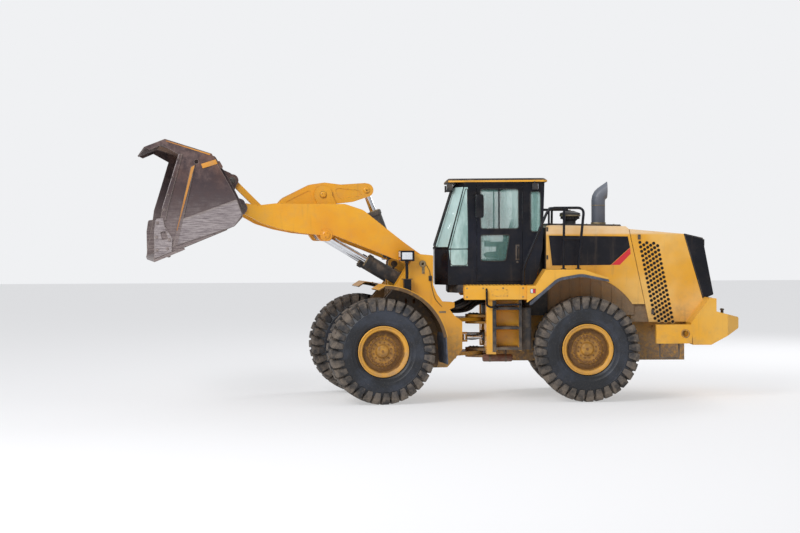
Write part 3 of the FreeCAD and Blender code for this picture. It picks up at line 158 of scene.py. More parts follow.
# %% Basic forms
def loft(rings):
    """Closed form over rings of points that run the same way round, with a lid on each end."""
    form = bmesh.new()
    rings = [[form.verts.new(point) for point in ring] for ring in rings]
    form.faces.new(rings[0])
    form.faces.new(rings[-1][::-1])
    for near, far in zip(rings, rings[1:]):
        for i in range(len(near)):
            j = (i + 1) % len(near)
            form.faces.new((near[i], near[j], far[j], far[i]))
    return form


def broken(form, edges, width):
    """The form with these edges rounded off."""
    bmesh.ops.bevel(form, geom=edges, offset=width, segments=2, affect="EDGES", profile=0.6)
    return form


def plate(outline, y0, y1, bevel=0.0):
    """Plate with a side outline of (x, z) points, from y0 to y1."""
    form = loft([[(x, y, z) for x, z in outline] for y in (y0, y1)])
    return broken(form, form.edges[:], bevel) if bevel else form


def block(x0, x1, y0, y1, z0, z1, bevel=0.006):
    return plate([(x0, z0), (x1, z0), (x1, z1), (x0, z1)], y0, y1, bevel)


def turned(profile, centre=(0, 0, 0), axis="Y", steps=48):
    """Closed turned part: (radius, height) points round an axis through centre."""
    form = bmesh.new()
    rings = []
    for radius, height in profile:
        ring = []
        for i in range(steps if radius > 1e-6 else 1):
            a = 2 * pi * i / steps
            u, v = radius * cos(a), radius * sin(a)
            place = {"Y": (u, height, v), "Z": (u, v, height), "X": (height, u, v)}[axis]
            ring.append(form.verts.new(Vector(place) + Vector(centre)))
        rings.append(ring)
    for near, far in zip(rings, rings[1:]):
        for i in range(steps):
            j = (i + 1) % steps
            loop = [near[i % len(near)], near[j % len(near)], far[j % len(far)], far[i % len(far)]]
            distinct = list(dict.fromkeys(loop))
            if len(distinct) > 2:
                form.faces.new(distinct)
    return form


def tube(points, radius, closed=False, steps=4, bend=0.05):
    """Round tube through points, its corners rounded to a bend radius."""
    curve = bpy.data.curves.new("path", "CURVE")
    curve.dimensions = "3D"
    curve.bevel_depth = radius
    curve.bevel_resolution = 3
    curve.use_fill_caps = not closed
    path = []
    points = [Vector(p) for p in points]
    for i, here in enumerate(points):
        if not closed and i in (0, len(points) - 1):
            path.append(here)
            continue
        back = points[i - 1] - here
        ahead = points[(i + 1) % len(points)] - here
        run = min(bend, back.length * 0.45, ahead.length * 0.45)
        start, end = here + back.normalized() * run, here + ahead.normalized() * run
        for k in range(steps + 1):
            t = k / steps
            path.append(start * (1 - t) ** 2 + here * 2 * t * (1 - t) + end * t ** 2)
    spline = curve.splines.new("POLY")
    spline.points.add(len(path) - 1)
    for knot, p in zip(spline.points, path):
        knot.co = (*p, 1)
    spline.use_cyclic_u = closed
    holder = bpy.data.objects.new("path", curve)
    mesh = bpy.data.meshes.new_from_object(holder)
    bpy.data.objects.remove(holder)
    bpy.data.curves.remove(curve)
    return form_of(mesh)


# %% [markdown]
# ## Finishes
# A loader's paint is never one colour. Sun fades it, dust settles on it, mud is thrown on it
# from below, and every edge that boots, chain or rock touches goes bright or rusty. These four
# effects are one shader node group, built once, and each paint gives it its own values.

# %% A small helper to write node trees
MIX_A, MIX_B, MIX_RESULT = 6, 7, 2  # where a Mix node has its colours


class Shade:
    """Adds nodes to a tree, and links or sets their sockets in the same call."""

    def __init__(self, tree):
        self.tree = tree

    def put(self, value, socket):
        if isinstance(value, bpy.types.NodeSocket):
            self.tree.links.new(value, socket)
        else:
            socket.default_value = value

    def feed(self, node, **inputs):
        for label, value in inputs.items():
            self.put(value, node.inputs[label.replace("_", " ")])

    def add(self, kind, settings=None, *values, **inputs):
        """A node with its first sockets given in order and the others by name."""
        node = self.tree.nodes.new(kind)
        for key, value in (settings or {}).items():
            setattr(node, key, value)
        for value, socket in zip(values, node.inputs):
            self.put(value, socket)
        self.feed(node, **inputs)
        return node

    def math(self, operation, a, b=0.0, clamp=False):
        return self.add("ShaderNodeMath", {"operation": operation, "use_clamp": clamp}, a,
                        b).outputs[0]

    def times(self, a, b, clamp=False):
        return self.math("MULTIPLY", a, b, clamp)

    def plus(self, a, b, clamp=False):
        return self.math("ADD", a, b, clamp)

    def minus(self, a, b):
        return self.math("SUBTRACT", a, b)

    def swing(self, noise, reach):
        """The noise centred on zero and spread over reach."""
        return self.times(self.minus(noise, 0.5), reach)

    def vector(self, operation, a, b):
        """A vector, or a number where the operation measures one."""
        node = self.add("ShaderNodeVectorMath", {"operation": operation}, a, b)
        return node.outputs["Value" if operation in ("DISTANCE", "DOT_PRODUCT") else "Vector"]

    def scaled(self, vector, by):
        return self.add("ShaderNodeVectorMath", {"operation": "SCALE"}, vector, Scale=by).outputs[0]

    def where(self):
        """Place on the machine in metres."""
        return self.add("ShaderNodeTexCoord").outputs["Object"]

    def level(self, place):
        return self.add("ShaderNodeSeparateXYZ", None, place).outputs["Z"]

    def drawn(self, place, **how):
        """The place stretched or turned, so that noise on it runs one way."""
        return self.add("ShaderNodeMapping", None, Vector=place, **how).outputs[0]

    def tread(self):
        """The mark that a wheel's mesh carries."""
        return self.add("ShaderNodeAttribute", {"attribute_name": "tread"}).outputs["Fac"]

    def noise(self, vector, scale, detail=6.0, rough=0.6):
        return self.add("ShaderNodeTexNoise", None, Vector=vector, Scale=scale, Detail=detail,
                        Roughness=rough).outputs["Fac"]

    def band(self, value, low, high, out_low=0.0, out_high=1.0):
        """Value between low and high spread over out_low to out_high, smoothly."""
        return self.add("ShaderNodeMapRange", {"interpolation_type": "SMOOTHSTEP"}, value, low,
                        high, out_low, out_high).outputs[0]

    def mix(self, share, a, b):
        node = self.add("ShaderNodeMix", {"data_type": "RGBA"}, share)
        self.put(a, node.inputs[MIX_A])
        self.put(b, node.inputs[MIX_B])
        return node.outputs[MIX_RESULT]

    def edge(self, radius, sharp):
        """Goes to 1 where the rounded normal leaves the true one by as much as sharp says."""
        rounded = self.add("ShaderNodeBevel", {"samples": 4}, Radius=radius).outputs[0]
        true = self.add("ShaderNodeNewGeometry").outputs["Normal"]
        return self.band(self.vector("DOT_PRODUCT", rounded, true), 0.985, sharp)

    def bump(self, height, distance, strength=0.5):
        return self.add("ShaderNodeBump", None, Height=height, Distance=distance,
                        Strength=strength).outputs[0]


def new_tree(name, kind, inputs, outputs):
    """A node group from (label, type, value) rows: the group, its writer, given and result."""
    tree = bpy.data.node_groups.new(name, kind)
    for label, socket_type, *value in inputs:
        socket = tree.interface.new_socket(label, in_out="INPUT",
                                           socket_type="NodeSocket" + socket_type)
        if value:
            socket.default_value = value[0]
    for label, socket_type in outputs:
        tree.interface.new_socket(label, in_out="OUTPUT", socket_type="NodeSocket" + socket_type)
    s = Shade(tree)
    return tree, s, s.add("NodeGroupInput").outputs, s.add("NodeGroupOutput")


def srgb(*channels):
    """A colour as a paint chart gives it, 0 to 255, made linear."""
    def line(c):
        c /= 255
        return c / 12.92 if c <= 0.04045 else ((c + 0.055) / 1.055) ** 2.4
    return (*(line(c) for c in channels), 1.0)


DUST, MUD = srgb(150, 131, 110), srgb(104, 88, 72)
BARE, RUST = srgb(120, 112, 104), srgb(112, 66, 38)
# Colour of the painted highlight on the hood's top, where the sky lights it.
TOP_HIGHLIGHT = srgb(238, 208, 168)

# %% [markdown]
# ### The weathering group
# Fade is slow noise over metres. Dust is finer noise all over, and mud lies low on the machine,
# where the wheels throw it. Runs are noise drawn out along Z, as rain leaves them. Wear comes
# from the Bevel node: where its rounded normal leaves the true one there is an edge, and noise
# breaks that line up so that it doesn't look drawn.

# %% Build the weathering group
def build_weathering():
    group, s, given, result = new_tree(
        "weathering", "ShaderNodeTree",
        [("Paint", "Color", (0.8, 0.4, 0.05, 1)), ("Faded", "Color", (0.8, 0.5, 0.1, 1)),
         ("Dust", "Float", 0.3), ("Mud", "Float", 0.6), ("Mud Top", "Float", 1.3),
         ("Wear", "Float", 0.5), ("Gloss", "Float", 0.4)],
        [("Color", "Color"), ("Roughness", "Float"), ("Height", "Float"), ("Bare", "Float")])
    where = s.where()
    slow = s.noise(where, 0.8, 3.0)
    blotch = s.noise(where, 5.5, 8.0, 0.65)
    grit = s.noise(where, 60.0, 5.0, 0.7)
    runs = s.noise(s.drawn(where, Scale=(7.0, 7.0, 0.55)), 1.6)
    colour = s.mix(s.band(slow, 0.35, 0.68), given["Paint"], given["Faded"])
    colour = s.mix(s.times(s.band(runs, 0.56, 0.78), 0.22), colour, MUD)
    dusty = s.times(s.band(blotch, 0.42, 0.72), given["Dust"])
    dusty = s.times(dusty, s.band(grit, 0.3, 0.6, 0.65, 1.0))
    colour = s.mix(dusty, colour, DUST)
    edge_of_mud = s.plus(given["Mud Top"], s.swing(blotch, 1.3))
    low = s.band(s.level(where), edge_of_mud, s.minus(given["Mud Top"], 0.75))
    muddy = s.times(low, given["Mud"])
    muddy = s.times(muddy, s.band(s.noise(where, 17.0), 0.36, 0.6, 0.35, 1.0))
    colour = s.mix(muddy, colour, s.mix(grit, MUD, DUST))
    patchy = s.band(s.noise(where, 26.0, 5.0, 0.7), 0.48, 0.62)
    worn = s.times(s.times(s.edge(0.014, 0.9), patchy), given["Wear"])
    colour = s.mix(worn, colour, s.mix(s.band(grit, 0.4, 0.6), BARE, RUST))
    film = s.math("MAXIMUM", dusty, muddy)
    rough = s.plus(given["Gloss"], s.times(film, 0.45), clamp=True)
    rough = s.plus(rough, s.swing(slow, 0.12), clamp=True)
    relief = s.plus(s.times(muddy, s.plus(blotch, grit)), s.times(s.noise(where, 150.0, 2.0), 0.06))
    relief = s.minus(relief, s.times(worn, 0.25))
    s.feed(result, Color=colour, Roughness=rough, Height=relief, Bare=worn)
    return group


weathering = build_weathering()
print("weathering group has", len(weathering.nodes), "nodes")

# %% [markdown]
# Every painted finish is the same short material: the group feeds the shader, and a coat
# stands for the clear layer that fresh paint has and dusty paint has lost. Three finishes have
# one thing more: a painted highlight on the hood's top, packed mud and painted shade in a wheel,
# and painted shade with mud inside an arch.

# %% Painted finishes
def new_material(name):
    material = bpy.data.materials.new(name)
    material.use_nodes = True
    return material, Shade(material.node_tree), material.node_tree.nodes["Principled BSDF"]


def painted(name, paint, faded, dust=0.35, mud=0.6, mud_top=1.3, wear=0.5, gloss=0.38, coat=0.15,
            shine=0.5, highlight_above=None, caked_and_shaded=False, arch=None):
    """Weathered paint, with optional painted top highlight, wheel mud with painted shade, and arch
    shade painted with mud.
    """
    material, s, shader = new_material(name)
    skin = s.add("ShaderNodeGroup", {"node_tree": weathering}, Paint=paint, Faded=faded, Dust=dust,
                 Mud=mud, Mud_Top=mud_top, Wear=wear, Gloss=gloss).outputs
    colour, where = skin["Color"], s.where()
    # Above the given height the paint turns pale: a painted highlight on the hood's top.
    if highlight_above:
        top = s.band(s.level(where), highlight_above - 0.02, highlight_above + 0.02)
        pale = s.times(top, s.band(s.noise(where, 3.0), 0.3, 0.6, 0.5, 0.8))
        colour = s.mix(pale, colour, TOP_HIGHLIGHT)
    # The wheel's mark paints packed mud on the hub and painted shade in the rim's dish.
    if caked_and_shaded:
        patch = s.swing(s.noise(where, 9.0, 7.0, 0.65), 0.7)
        share = s.times(s.band(s.plus(s.tread(), patch), 0.12, 0.62), 0.92)
        dirt = s.mix(s.noise(where, 30.0, 5.0), srgb(62, 44, 30), srgb(142, 100, 56))
        colour = s.mix(share, colour, dirt)
    # Inside the arch, round the axle, the frame is painted dark: painted shade under the fender,
    # mixed with mud colours.
    if arch:
        local = s.add("ShaderNodeMapping", {"vector_type": "TEXTURE"}, Vector=where,
                      Location=HALF[arch].translation, Rotation=HALF[arch].to_euler()).outputs[0]
        reach = s.vector("DISTANCE", s.vector("MULTIPLY", local, (1, 0, 1)), (AXLE_X, 0, AXLE_Z))
        share = s.times(s.band(reach, 1.049, 1.057, 0.92, 0.0),
                        s.band(s.noise(where, 9.0, 7.0), 0.3, 0.5, 0.8, 1.0))
        shadow = s.mix(s.noise(where, 24.0, 5.0), srgb(36, 28, 26), srgb(84, 64, 48))
        colour = s.mix(share, colour, shadow)
    s.feed(shader, Base_Color=colour, Roughness=skin["Roughness"],
           Metallic=s.times(skin["Bare"], 0.7), Normal=s.bump(skin["Height"], 0.006, 0.6),
           Specular_IOR_Level=shine, Coat_Weight=coat, Coat_Roughness=0.25)
    return material


YELLOW = srgb(232, 166, 34)
YELLOW_PALE = srgb(234, 178, 72)
YELLOW_DEEP = srgb(226, 150, 22)
BLACK = srgb(9, 11, 19)
BLACK_PALE = srgb(20, 24, 37)
yellow = painted("machine_yellow", YELLOW, YELLOW_PALE, dust=0.13, mud=0.75, mud_top=1.15)
# The front frame gets painted shade, with mud, inside its wheel's arch.
frame_yellow_arch_shade = painted("front_frame_yellow_arch_shade", YELLOW, YELLOW_PALE, dust=0.13, mud=0.75, mud_top=1.25,
                      arch="front")
boom_yellow = painted("boom_yellow", YELLOW_DEEP, YELLOW, dust=0.16, mud=0.3, mud_top=1.6, wear=0.8,
                      gloss=0.34)
# The hood's top, above 2.7 m, gets a painted highlight.
hood_yellow = painted("hood_yellow", YELLOW, srgb(243, 196, 112), dust=0.14, mud=0.55, mud_top=1.7,
                      gloss=0.3, coat=0.3, highlight_above=2.7)
low_yellow = painted("chassis_yellow", srgb(206, 148, 40), srgb(176, 132, 62), dust=0.7, mud=1.0,
                     mud_top=1.5, wear=0.4, gloss=0.55, coat=0.0)
worn_paint = painted("worn_paint", srgb(206, 140, 48), srgb(150, 96, 52), dust=0.45, mud=0.0,
                     wear=1.0, gloss=0.6, coat=0.0)
# Wheels get packed mud on the hub and painted shade in the rim's dish.
wheel_paint = painted("wheel_paint", srgb(226, 164, 44), srgb(206, 150, 62), dust=0.4, mud=0.3,
                      mud_top=0.9, wear=0.9, gloss=0.45, coat=0.0, caked_and_shaded=True)
arch_tan = painted("arch_liner", srgb(168, 128, 84), srgb(150, 122, 92), dust=0.8, mud=0.9,
                   mud_top=2.0, wear=0.2, gloss=0.7, coat=0.0)
tank_red = painted("tank_red", srgb(92, 38, 30), srgb(110, 58, 44), dust=0.4, mud=0.5, mud_top=1.2,
                   wear=0.3, gloss=0.5, coat=0.0)
black_paint = painted("cab_black", BLACK, BLACK_PALE, dust=0.04, mud=0.3, mud_top=1.5, wear=0.15,
                      gloss=0.28, coat=0.12, shine=0.25)
dull_black = painted("dull_black", srgb(34, 35, 38), srgb(58, 58, 60), dust=0.45, mud=0.7,
                     mud_top=1.3, wear=0.5, gloss=0.6, coat=0.0)
dark_steel = painted("oiled_steel", srgb(58, 57, 58), srgb(86, 80, 74), dust=0.5, mud=0.8,
                     mud_top=1.3, wear=0.6, gloss=0.5, coat=0.0)
stack_steel = painted("stack_steel", srgb(122, 127, 138), srgb(88, 92, 102), dust=0.1, mud=0.0,
                      wear=0.9, gloss=0.42, coat=0.0)

# %% [markdown]
# ### Rubber
# A quarry tyre is near black, with lighter blue patches on the wall that are painted sheen of the
# sky on wet rubber, and tan wherever it touches the ground. Which of the two a point gets depends
# on where it lies on the tyre, not on where the machine stands, so the tyre mesh carries an
# attribute, 0 on the wall and 1 on the lugs, and the material reads it.

# %% Tyre and soft black rubber
def tyre_material():
    material, s, shader = new_material("tyre_rubber")
    where = s.where()
    blotch = s.noise(where, 6.0, 8.0, 0.65)
    grit = s.noise(where, 75.0, 6.0, 0.7)
    film = s.noise(where, 2.2, 5.0)
    # Dark rubber, with lighter blue patches that are painted sheen, the sky's reflection on the wet
    # wall.
    wall_with_sheen = s.mix(s.band(film, 0.42, 0.68), srgb(24, 26, 31), srgb(48, 53, 64))
    lug = s.mix(s.band(blotch, 0.36, 0.62), srgb(44, 42, 42), srgb(122, 110, 98))
    lug = s.mix(s.band(grit, 0.4, 0.75), lug, srgb(70, 65, 60))
    share = s.times(s.band(s.tread(), 0.15, 0.8), s.band(blotch, 0.28, 0.52, 0.55, 1.0), clamp=True)
    spots = s.times(s.band(grit, 0.6, 0.68), 0.6)
    colour = s.mix(spots, s.mix(share, wall_with_sheen, lug), srgb(128, 116, 104))
    relief = s.plus(s.times(grit, 0.5), blotch)
    s.feed(shader, Base_Color=colour, Roughness=s.band(share, 0.0, 1.0, 0.46, 0.86),
           Normal=s.bump(relief, 0.008, 0.55))
    return material


def rubber_material(name, colour, pale, gloss):
    material, s, shader = new_material(name)
    where = s.where()
    blotch = s.noise(where, 9.0, 7.0, 0.65)
    grit = s.noise(where, 110.0, 4.0)
    shown = s.mix(s.band(blotch, 0.4, 0.7), colour, pale)
    s.feed(shader, Base_Color=s.mix(s.band(grit, 0.58, 0.72), shown, DUST),
           Roughness=s.band(blotch, 0.3, 0.7, gloss, gloss + 0.2), Normal=s.bump(grit, 0.002))
    return material


tyre_rubber = tyre_material()
strip_rubber = rubber_material("fender_rubber", srgb(62, 68, 80), srgb(92, 98, 112), 0.45)
hose_rubber = rubber_material("hose_rubber", srgb(28, 28, 30), srgb(52, 50, 48), 0.5)

# %% [markdown]
# ### Bucket steel
# A bucket keeps paint only where nothing rubs. Stone polishes the lower cheeks to a grey with
# long scratches, and the rest turns brown between shifts. Height on the bucket decides how
# much of each there is, and noise drawn out along the digging direction makes the scratches.

# %% Worn digging steel
def digging_steel(name, polish_low, polish_high, scoured=(srgb(102, 90, 92), srgb(168, 154, 150))):
    """Brown plate, scraped grey below polish_low, with paint left far above polish_high."""
    material, s, shader = new_material(name)
    where = s.where()
    height = s.level(where)
    slow = s.noise(where, 1.3, 5.0)
    blotch = s.noise(where, 7.0, 8.0, 0.7)
    grit = s.noise(where, 80.0, 5.0, 0.7)
    dragged = s.drawn(where, Rotation=(0, radians(-22), 0), Scale=(2.0, 8.0, 46.0))
    scratch = s.noise(dragged, 2.2, 6.0, 0.75)
    brown = s.mix(s.band(blotch, 0.35, 0.68), srgb(62, 48, 50), srgb(106, 86, 82))
    brown = s.mix(s.times(s.band(slow, 0.5, 0.72), 0.6), brown, srgb(112, 74, 54))
    dark_low = s.band(s.plus(height, s.times(blotch, 0.6)), 4.3, 3.7, 0.0, 0.7)
    brown = s.mix(dark_low, brown, srgb(54, 42, 47))
    grey = s.mix(s.band(scratch, 0.36, 0.66), *scoured)
    level = s.plus(s.plus(height, s.swing(blotch, 0.9)), s.swing(scratch, 0.5))
    polished = s.band(level, polish_high, polish_low, 0.0, 0.92)
    colour = s.mix(polished, brown, grey)
    edge = s.times(s.edge(0.02, 0.88), s.band(blotch, 0.3, 0.55))
    colour = s.mix(s.times(edge, 0.6), colour, srgb(168, 156, 148))
    paint_left = s.times(s.band(height, polish_high + 0.45, polish_high + 1.0),
                         s.band(slow, 0.52, 0.6))
    paint_left = s.times(paint_left, s.band(grit, 0.38, 0.5))
    colour = s.mix(paint_left, colour, srgb(196, 136, 52))
    relief = s.plus(s.times(scratch, 0.5), s.plus(blotch, s.times(grit, 0.4)))
    s.feed(shader, Base_Color=colour, Metallic=s.times(s.math("MAXIMUM", polished, edge), 0.55),
           Roughness=s.band(polished, 0.0, 0.9, 0.78, 0.5), Normal=s.bump(relief, 0.008))
    return material


bucket_steel = digging_steel("bucket_steel", 2.45, 3.55)
wear_steel = digging_steel("wear_steel", 3.1, 3.9)
scoured_steel = digging_steel("scoured_steel", 3.7, 4.9, (srgb(116, 106, 109), srgb(184, 174, 173)))

# %% [markdown]
# ### Glass, chrome, lenses and cloth
# Safety glass in a cab is tinted green and half reflects the sky. A thin pane is best made as
# clear with a tint and pale streaks of painted sky reflection, so that the seat still shows. Rods
# are hard chrome, the one clean, mirror-like thing on the machine.

# %% The small finishes
def glass_material(name, tint, alpha_low, alpha_high):
    material, s, shader = new_material(name)
    where = s.where()
    # Pale, more opaque streaks on the pane are painted reflection of the sky.
    sky_reflection = s.noise(s.drawn(where, Scale=(1.6, 1.6, 0.45), Rotation=(0, 0.35, 0)), 1.8, 5.0)
    dirt = s.noise(where, 38.0, 6.0, 0.7)
    colour = s.mix(s.band(sky_reflection, 0.35, 0.7), tint, srgb(206, 232, 228))
    veil = s.plus(s.band(sky_reflection, 0.3, 0.75, alpha_low, alpha_high),
                  s.band(dirt, 0.55, 0.75, 0.0, 0.12), clamp=True)
    s.feed(shader, Base_Color=s.mix(s.band(dirt, 0.55, 0.75, 0.0, 0.4), colour, DUST), Alpha=veil,
           Roughness=s.band(dirt, 0.5, 0.8, 0.04, 0.3), Specular_IOR_Level=0.8)
    return material


def plain(name, colour, rough, metal=0.0, variation=0.2, scale=14.0, relief=0.001, coat=0.0):
    """A small part's finish: one colour broken by noise, with fine relief."""
    material, s, shader = new_material(name)
    where = s.where()
    blotch = s.noise(where, scale, 7.0, 0.65)
    dark = (*(c * (1 - variation) for c in colour[:3]), 1)
    light = (*(min(1, c * (1 + variation)) for c in colour[:3]), 1)
    s.feed(shader, Base_Color=s.mix(s.band(blotch, 0.35, 0.65), dark, light),
           Roughness=s.band(blotch, 0.3, 0.7, rough * 0.8, min(1, rough * 1.25)), Metallic=metal,
           Coat_Weight=coat, Normal=s.bump(s.noise(where, scale * 9, 3.0), relief))
    return material


def seat_cloth():
    """Woven seat cloth: two crossed wave patterns stand for warp and weft."""
    material, s, shader = new_material("seat_cloth")
    where = s.where()
    warp, weft = [s.add("ShaderNodeTexWave", {"bands_direction": axis}, Vector=where, Scale=130.0,
                        Distortion=0.6).outputs["Fac"] for axis in "YZ"]
    weave = s.times(warp, weft)
    colour = s.mix(weave, srgb(30, 32, 36), srgb(74, 76, 82))
    worn = s.band(s.noise(where, 8.0), 0.5, 0.75, 0.0, 0.4)
    s.feed(shader, Base_Color=s.mix(worn, colour, DUST), Roughness=0.9, Sheen_Weight=0.3,
           Normal=s.bump(weave, 0.002, 0.6))
    return material


cab_glass = glass_material("cab_glass", srgb(120, 168, 160), 0.22, 0.5)
windscreen_glass = glass_material("windscreen_glass", srgb(150, 196, 188), 0.35, 0.75)
bonded_glass = glass_material("bonded_glass", srgb(112, 156, 150), 0.72, 0.9)
# The corner panes are pale and nearly opaque: a painted reflection of the sky.
sky_reflection_glass = glass_material("sky_reflection_glass", srgb(188, 216, 214), 0.8, 0.97)
chrome = plain("hard_chrome", srgb(222, 224, 228), 0.14, metal=1.0, variation=0.06, relief=0.0003)
pin_steel = plain("pin_steel", srgb(96, 88, 78), 0.55, metal=0.6, variation=0.35)
zinc = plain("zinc_bolts", srgb(150, 134, 104), 0.5, metal=0.6, variation=0.3, scale=40.0)
hub_steel = plain("hub_nuts", srgb(132, 94, 54), 0.6, metal=0.2, variation=0.35, scale=40.0)
lens_clear = plain("lamp_lens", srgb(214, 220, 226), 0.12, variation=0.12, scale=60.0, coat=0.6)
lens_amber = plain("amber_lens", srgb(240, 138, 20), 0.18, variation=0.15, scale=60.0, coat=0.6)
lens_red = plain("red_lens", srgb(196, 22, 24), 0.2, variation=0.15, scale=60.0, coat=0.6)
decal_black = painted("decal_black", srgb(12, 12, 22), srgb(20, 21, 34), dust=0.05, mud=0.0,
                      wear=0.0, gloss=0.3, coat=0.1, shine=0.3)
decal_red = painted("decal_red", srgb(214, 34, 44), srgb(190, 30, 40), dust=0.1, mud=0.0, wear=0.0,
                    gloss=0.3, coat=0.4)
decal_line = painted("decal_line", srgb(226, 170, 60), srgb(216, 168, 80), dust=0.1, mud=0.0,
                     wear=0.0, gloss=0.35)
# Black for holes and bores: painted shade of the dark inside them.
hole_shade = plain("air_hole", srgb(16, 15, 15), 0.9, variation=0.3)
mirror_silver = plain("mirror_glass", srgb(190, 200, 206), 0.06, metal=1.0, variation=0.05,
                      relief=0.0001)
seat_fabric = seat_cloth()
print("materials", len(bpy.data.materials))

# %% [markdown]
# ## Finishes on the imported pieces
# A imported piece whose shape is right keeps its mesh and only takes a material. The table says
# which finish each one has.

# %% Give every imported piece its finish
FINISH = {
    yellow: ["platform", "ladder", "side_tank", "counterweight", "rear_fender"],
    frame_yellow_arch_shade: ["front_frame", "front_fender"],
    strip_rubber: ["arch_trim", "mud_flaps"],
    boom_yellow: ["boom", "tilt_lever", "tilt_link"],
    hood_yellow: ["hood", "rear_hood"],
    low_yellow: ["rear_frame", "rear_axle", "front_axle"],
    wheel_paint: [name for name in nodes if name.startswith("rim_")],
    black_paint: ["cab_frame", "door_left", "door_right", "tail_grille", "handrails", "lamp_posts"],
    arch_tan: ["bulkhead"],
    dull_black: ["cab_base", "cab_roof", "hood_cap", "seat_base", "steering_column", "precleaner",
                 "lift_barrels", "tilt_barrel", "steer_barrel_left", "steer_barrel_right"],
    dark_steel: ["engine_block", "transmission", "drive_shaft"],
    pin_steel: ["hitch_pins", "loader_pins", "lever_pin", "bucket_pins"],
    stack_steel: ["exhaust_stack"],
    chrome: ["lift_rods", "tilt_rod", "steer_rod_left", "steer_rod_right"],
    bucket_steel: ["bucket"],
    wear_steel: ["cutting_edge"],
    tyre_rubber: [name for name in nodes if name.startswith("tyre_")],
    seat_fabric: ["seat_cushion"],
    cab_glass: ["door_glass_left", "door_glass_right"],
    windscreen_glass: ["cab_glass"],
}
for material, names in FINISH.items():
    for name in names:
        nodes[name].data.materials.clear()
        nodes[name].data.materials.append(material)
bare = [name for name in nodes if not any(name in names for names in FINISH.values())]
print("packed pieces with no finish yet:", bare)

# %% [markdown]
# ## Growing rows, rings and grids
# Anything that a factory repeats is made once and repeated by a Geometry Nodes tree: bolts go
# round a ring, teeth and nuts along a rail, air holes and deck buttons on a slanted grid. A
# tree's inputs are set by name, its seed is fixed, and the result becomes a plain mesh before
# it is placed.

# %% Geometry Nodes trees
def new_growth(name, inputs):
    """A tree whose inputs begin with the part and end with its material."""
    inputs = [("Geometry", "Geometry"), *inputs, ("Material", "Material")]
    return new_tree(name, "GeometryNodeTree", inputs, [("Geometry", "Geometry")])


def repeat(s, given, result, count, place, turn):
    """Ends a tree: the part on count points, each moved by place and turned by turn."""
    points = s.add("GeometryNodePoints", None, Count=count, Position=place).outputs[0]
    copies = s.add("GeometryNodeInstanceOnPoints", None, Points=points, Instance=given["Geometry"],
                   Rotation=turn).outputs[0]
    real = s.add("GeometryNodeRealizeInstances", None, Geometry=copies).outputs[0]
    finish = s.add("GeometryNodeSetMaterial", None, Geometry=real, Material=given["Material"])
    s.feed(result, Geometry=finish.outputs[0])


def ring_tree():
    tree, s, given, result = new_growth("ring_of_parts",
                                        [("Count", "Int", 12), ("Start", "Float", 0.0)])
    index = s.add("GeometryNodeInputIndex").outputs[0]
    share = s.math("DIVIDE", s.plus(index, given["Start"]), given["Count"])
    turn = s.add("ShaderNodeCombineXYZ", None, Y=s.times(share, 2 * pi)).outputs[0]
    repeat(s, given, result, given["Count"], (0, 0, 0), turn)
    return tree


def rail_tree():
    tree, s, given, result = new_growth("rail_of_parts", [
        ("Count", "Int", 8), ("Step", "Vector", (0.1, 0, 0)), ("Looseness", "Float", 0.0),
        ("Seed", "Int", 3)])
    index = s.add("GeometryNodeInputIndex").outputs[0]
    spin = s.add("FunctionNodeRandomValue", {"data_type": "FLOAT"}, Seed=given["Seed"]).outputs[1]
    turn = s.add("ShaderNodeCombineXYZ", None, Y=s.times(spin, given["Looseness"])).outputs[0]
    repeat(s, given, result, given["Count"], s.scaled(given["Step"], index), turn)
    return tree


def grid_tree():
    """Columns by rows, each odd column half a step lower, on any two directions."""
    tree, s, given, result = new_growth("slanted_grid", [
        ("Columns", "Int", 6), ("Rows", "Int", 18), ("Across", "Vector", (0.05, 0, 0)),
        ("Down", "Vector", (0, 0, -0.07))])
    index = s.add("GeometryNodeInputIndex").outputs[0]
    column = s.math("FLOOR", s.math("DIVIDE", s.plus(index, 0.5), given["Rows"]))
    row = s.minus(index, s.times(column, given["Rows"]))
    row = s.plus(row, s.times(s.math("FLOORED_MODULO", column, 2.0), 0.5))
    place = s.vector("ADD", s.scaled(given["Across"], column), s.scaled(given["Down"], row))
    repeat(s, given, result, s.times(given["Columns"], given["Rows"]), place, (0, 0, 0))
    return tree


ring_of_parts, rail_of_parts, slanted_grid = ring_tree(), rail_tree(), grid_tree()


def grow(tree, form, material, **values):
    """The tree's result on one modelled part, as a form that can still be moved and joined."""
    part = collect([form])
    holder = bpy.data.objects.new("part", part)
    bpy.context.scene.collection.objects.link(holder)
    modifier = holder.modifiers.new("grow", "NODES")
    modifier.node_group = tree
    values["Material"] = material
    for item in tree.interface.items_tree:
        if item.in_out == "INPUT" and item.name in values:
            modifier[item.identifier] = values[item.name]
    bpy.context.view_layer.update()
    shown = holder.evaluated_get(bpy.context.evaluated_depsgraph_get())
    result = form_of(bpy.data.meshes.new_from_object(shown))
    bpy.data.objects.remove(holder)
    bpy.data.meshes.remove(part)
    return result


def moved(form, x=0.0, y=0.0, z=0.0):
    form.transform(Matrix.Translation((x, y, z)))
    return form


def bolt(radius, height, steps=6):
    """Hexagon head on a washer, standing on y = 0 and pointing to +Y."""
    head = turned([(0, height), (radius * 0.82, height), (radius, height * 0.86),
                   (radius, height * 0.2), (0, height * 0.2)], steps=steps)
    washer = turned([(0, height * 0.2), (radius * 1.35, height * 0.2), (radius * 1.4, 0), (0, 0)],
                    steps=14)
    return [head, washer]


def bolts_at(places, radius, height, y):
    """Bolt heads on a side face at (x, z) places."""
    parts = []
    for x, z in places:
        parts += [moved(form, x, y, z) for form in bolt(radius, height)]
    return parts


print("growth trees:", ring_of_parts.name, rail_of_parts.name, slanted_grid.name)

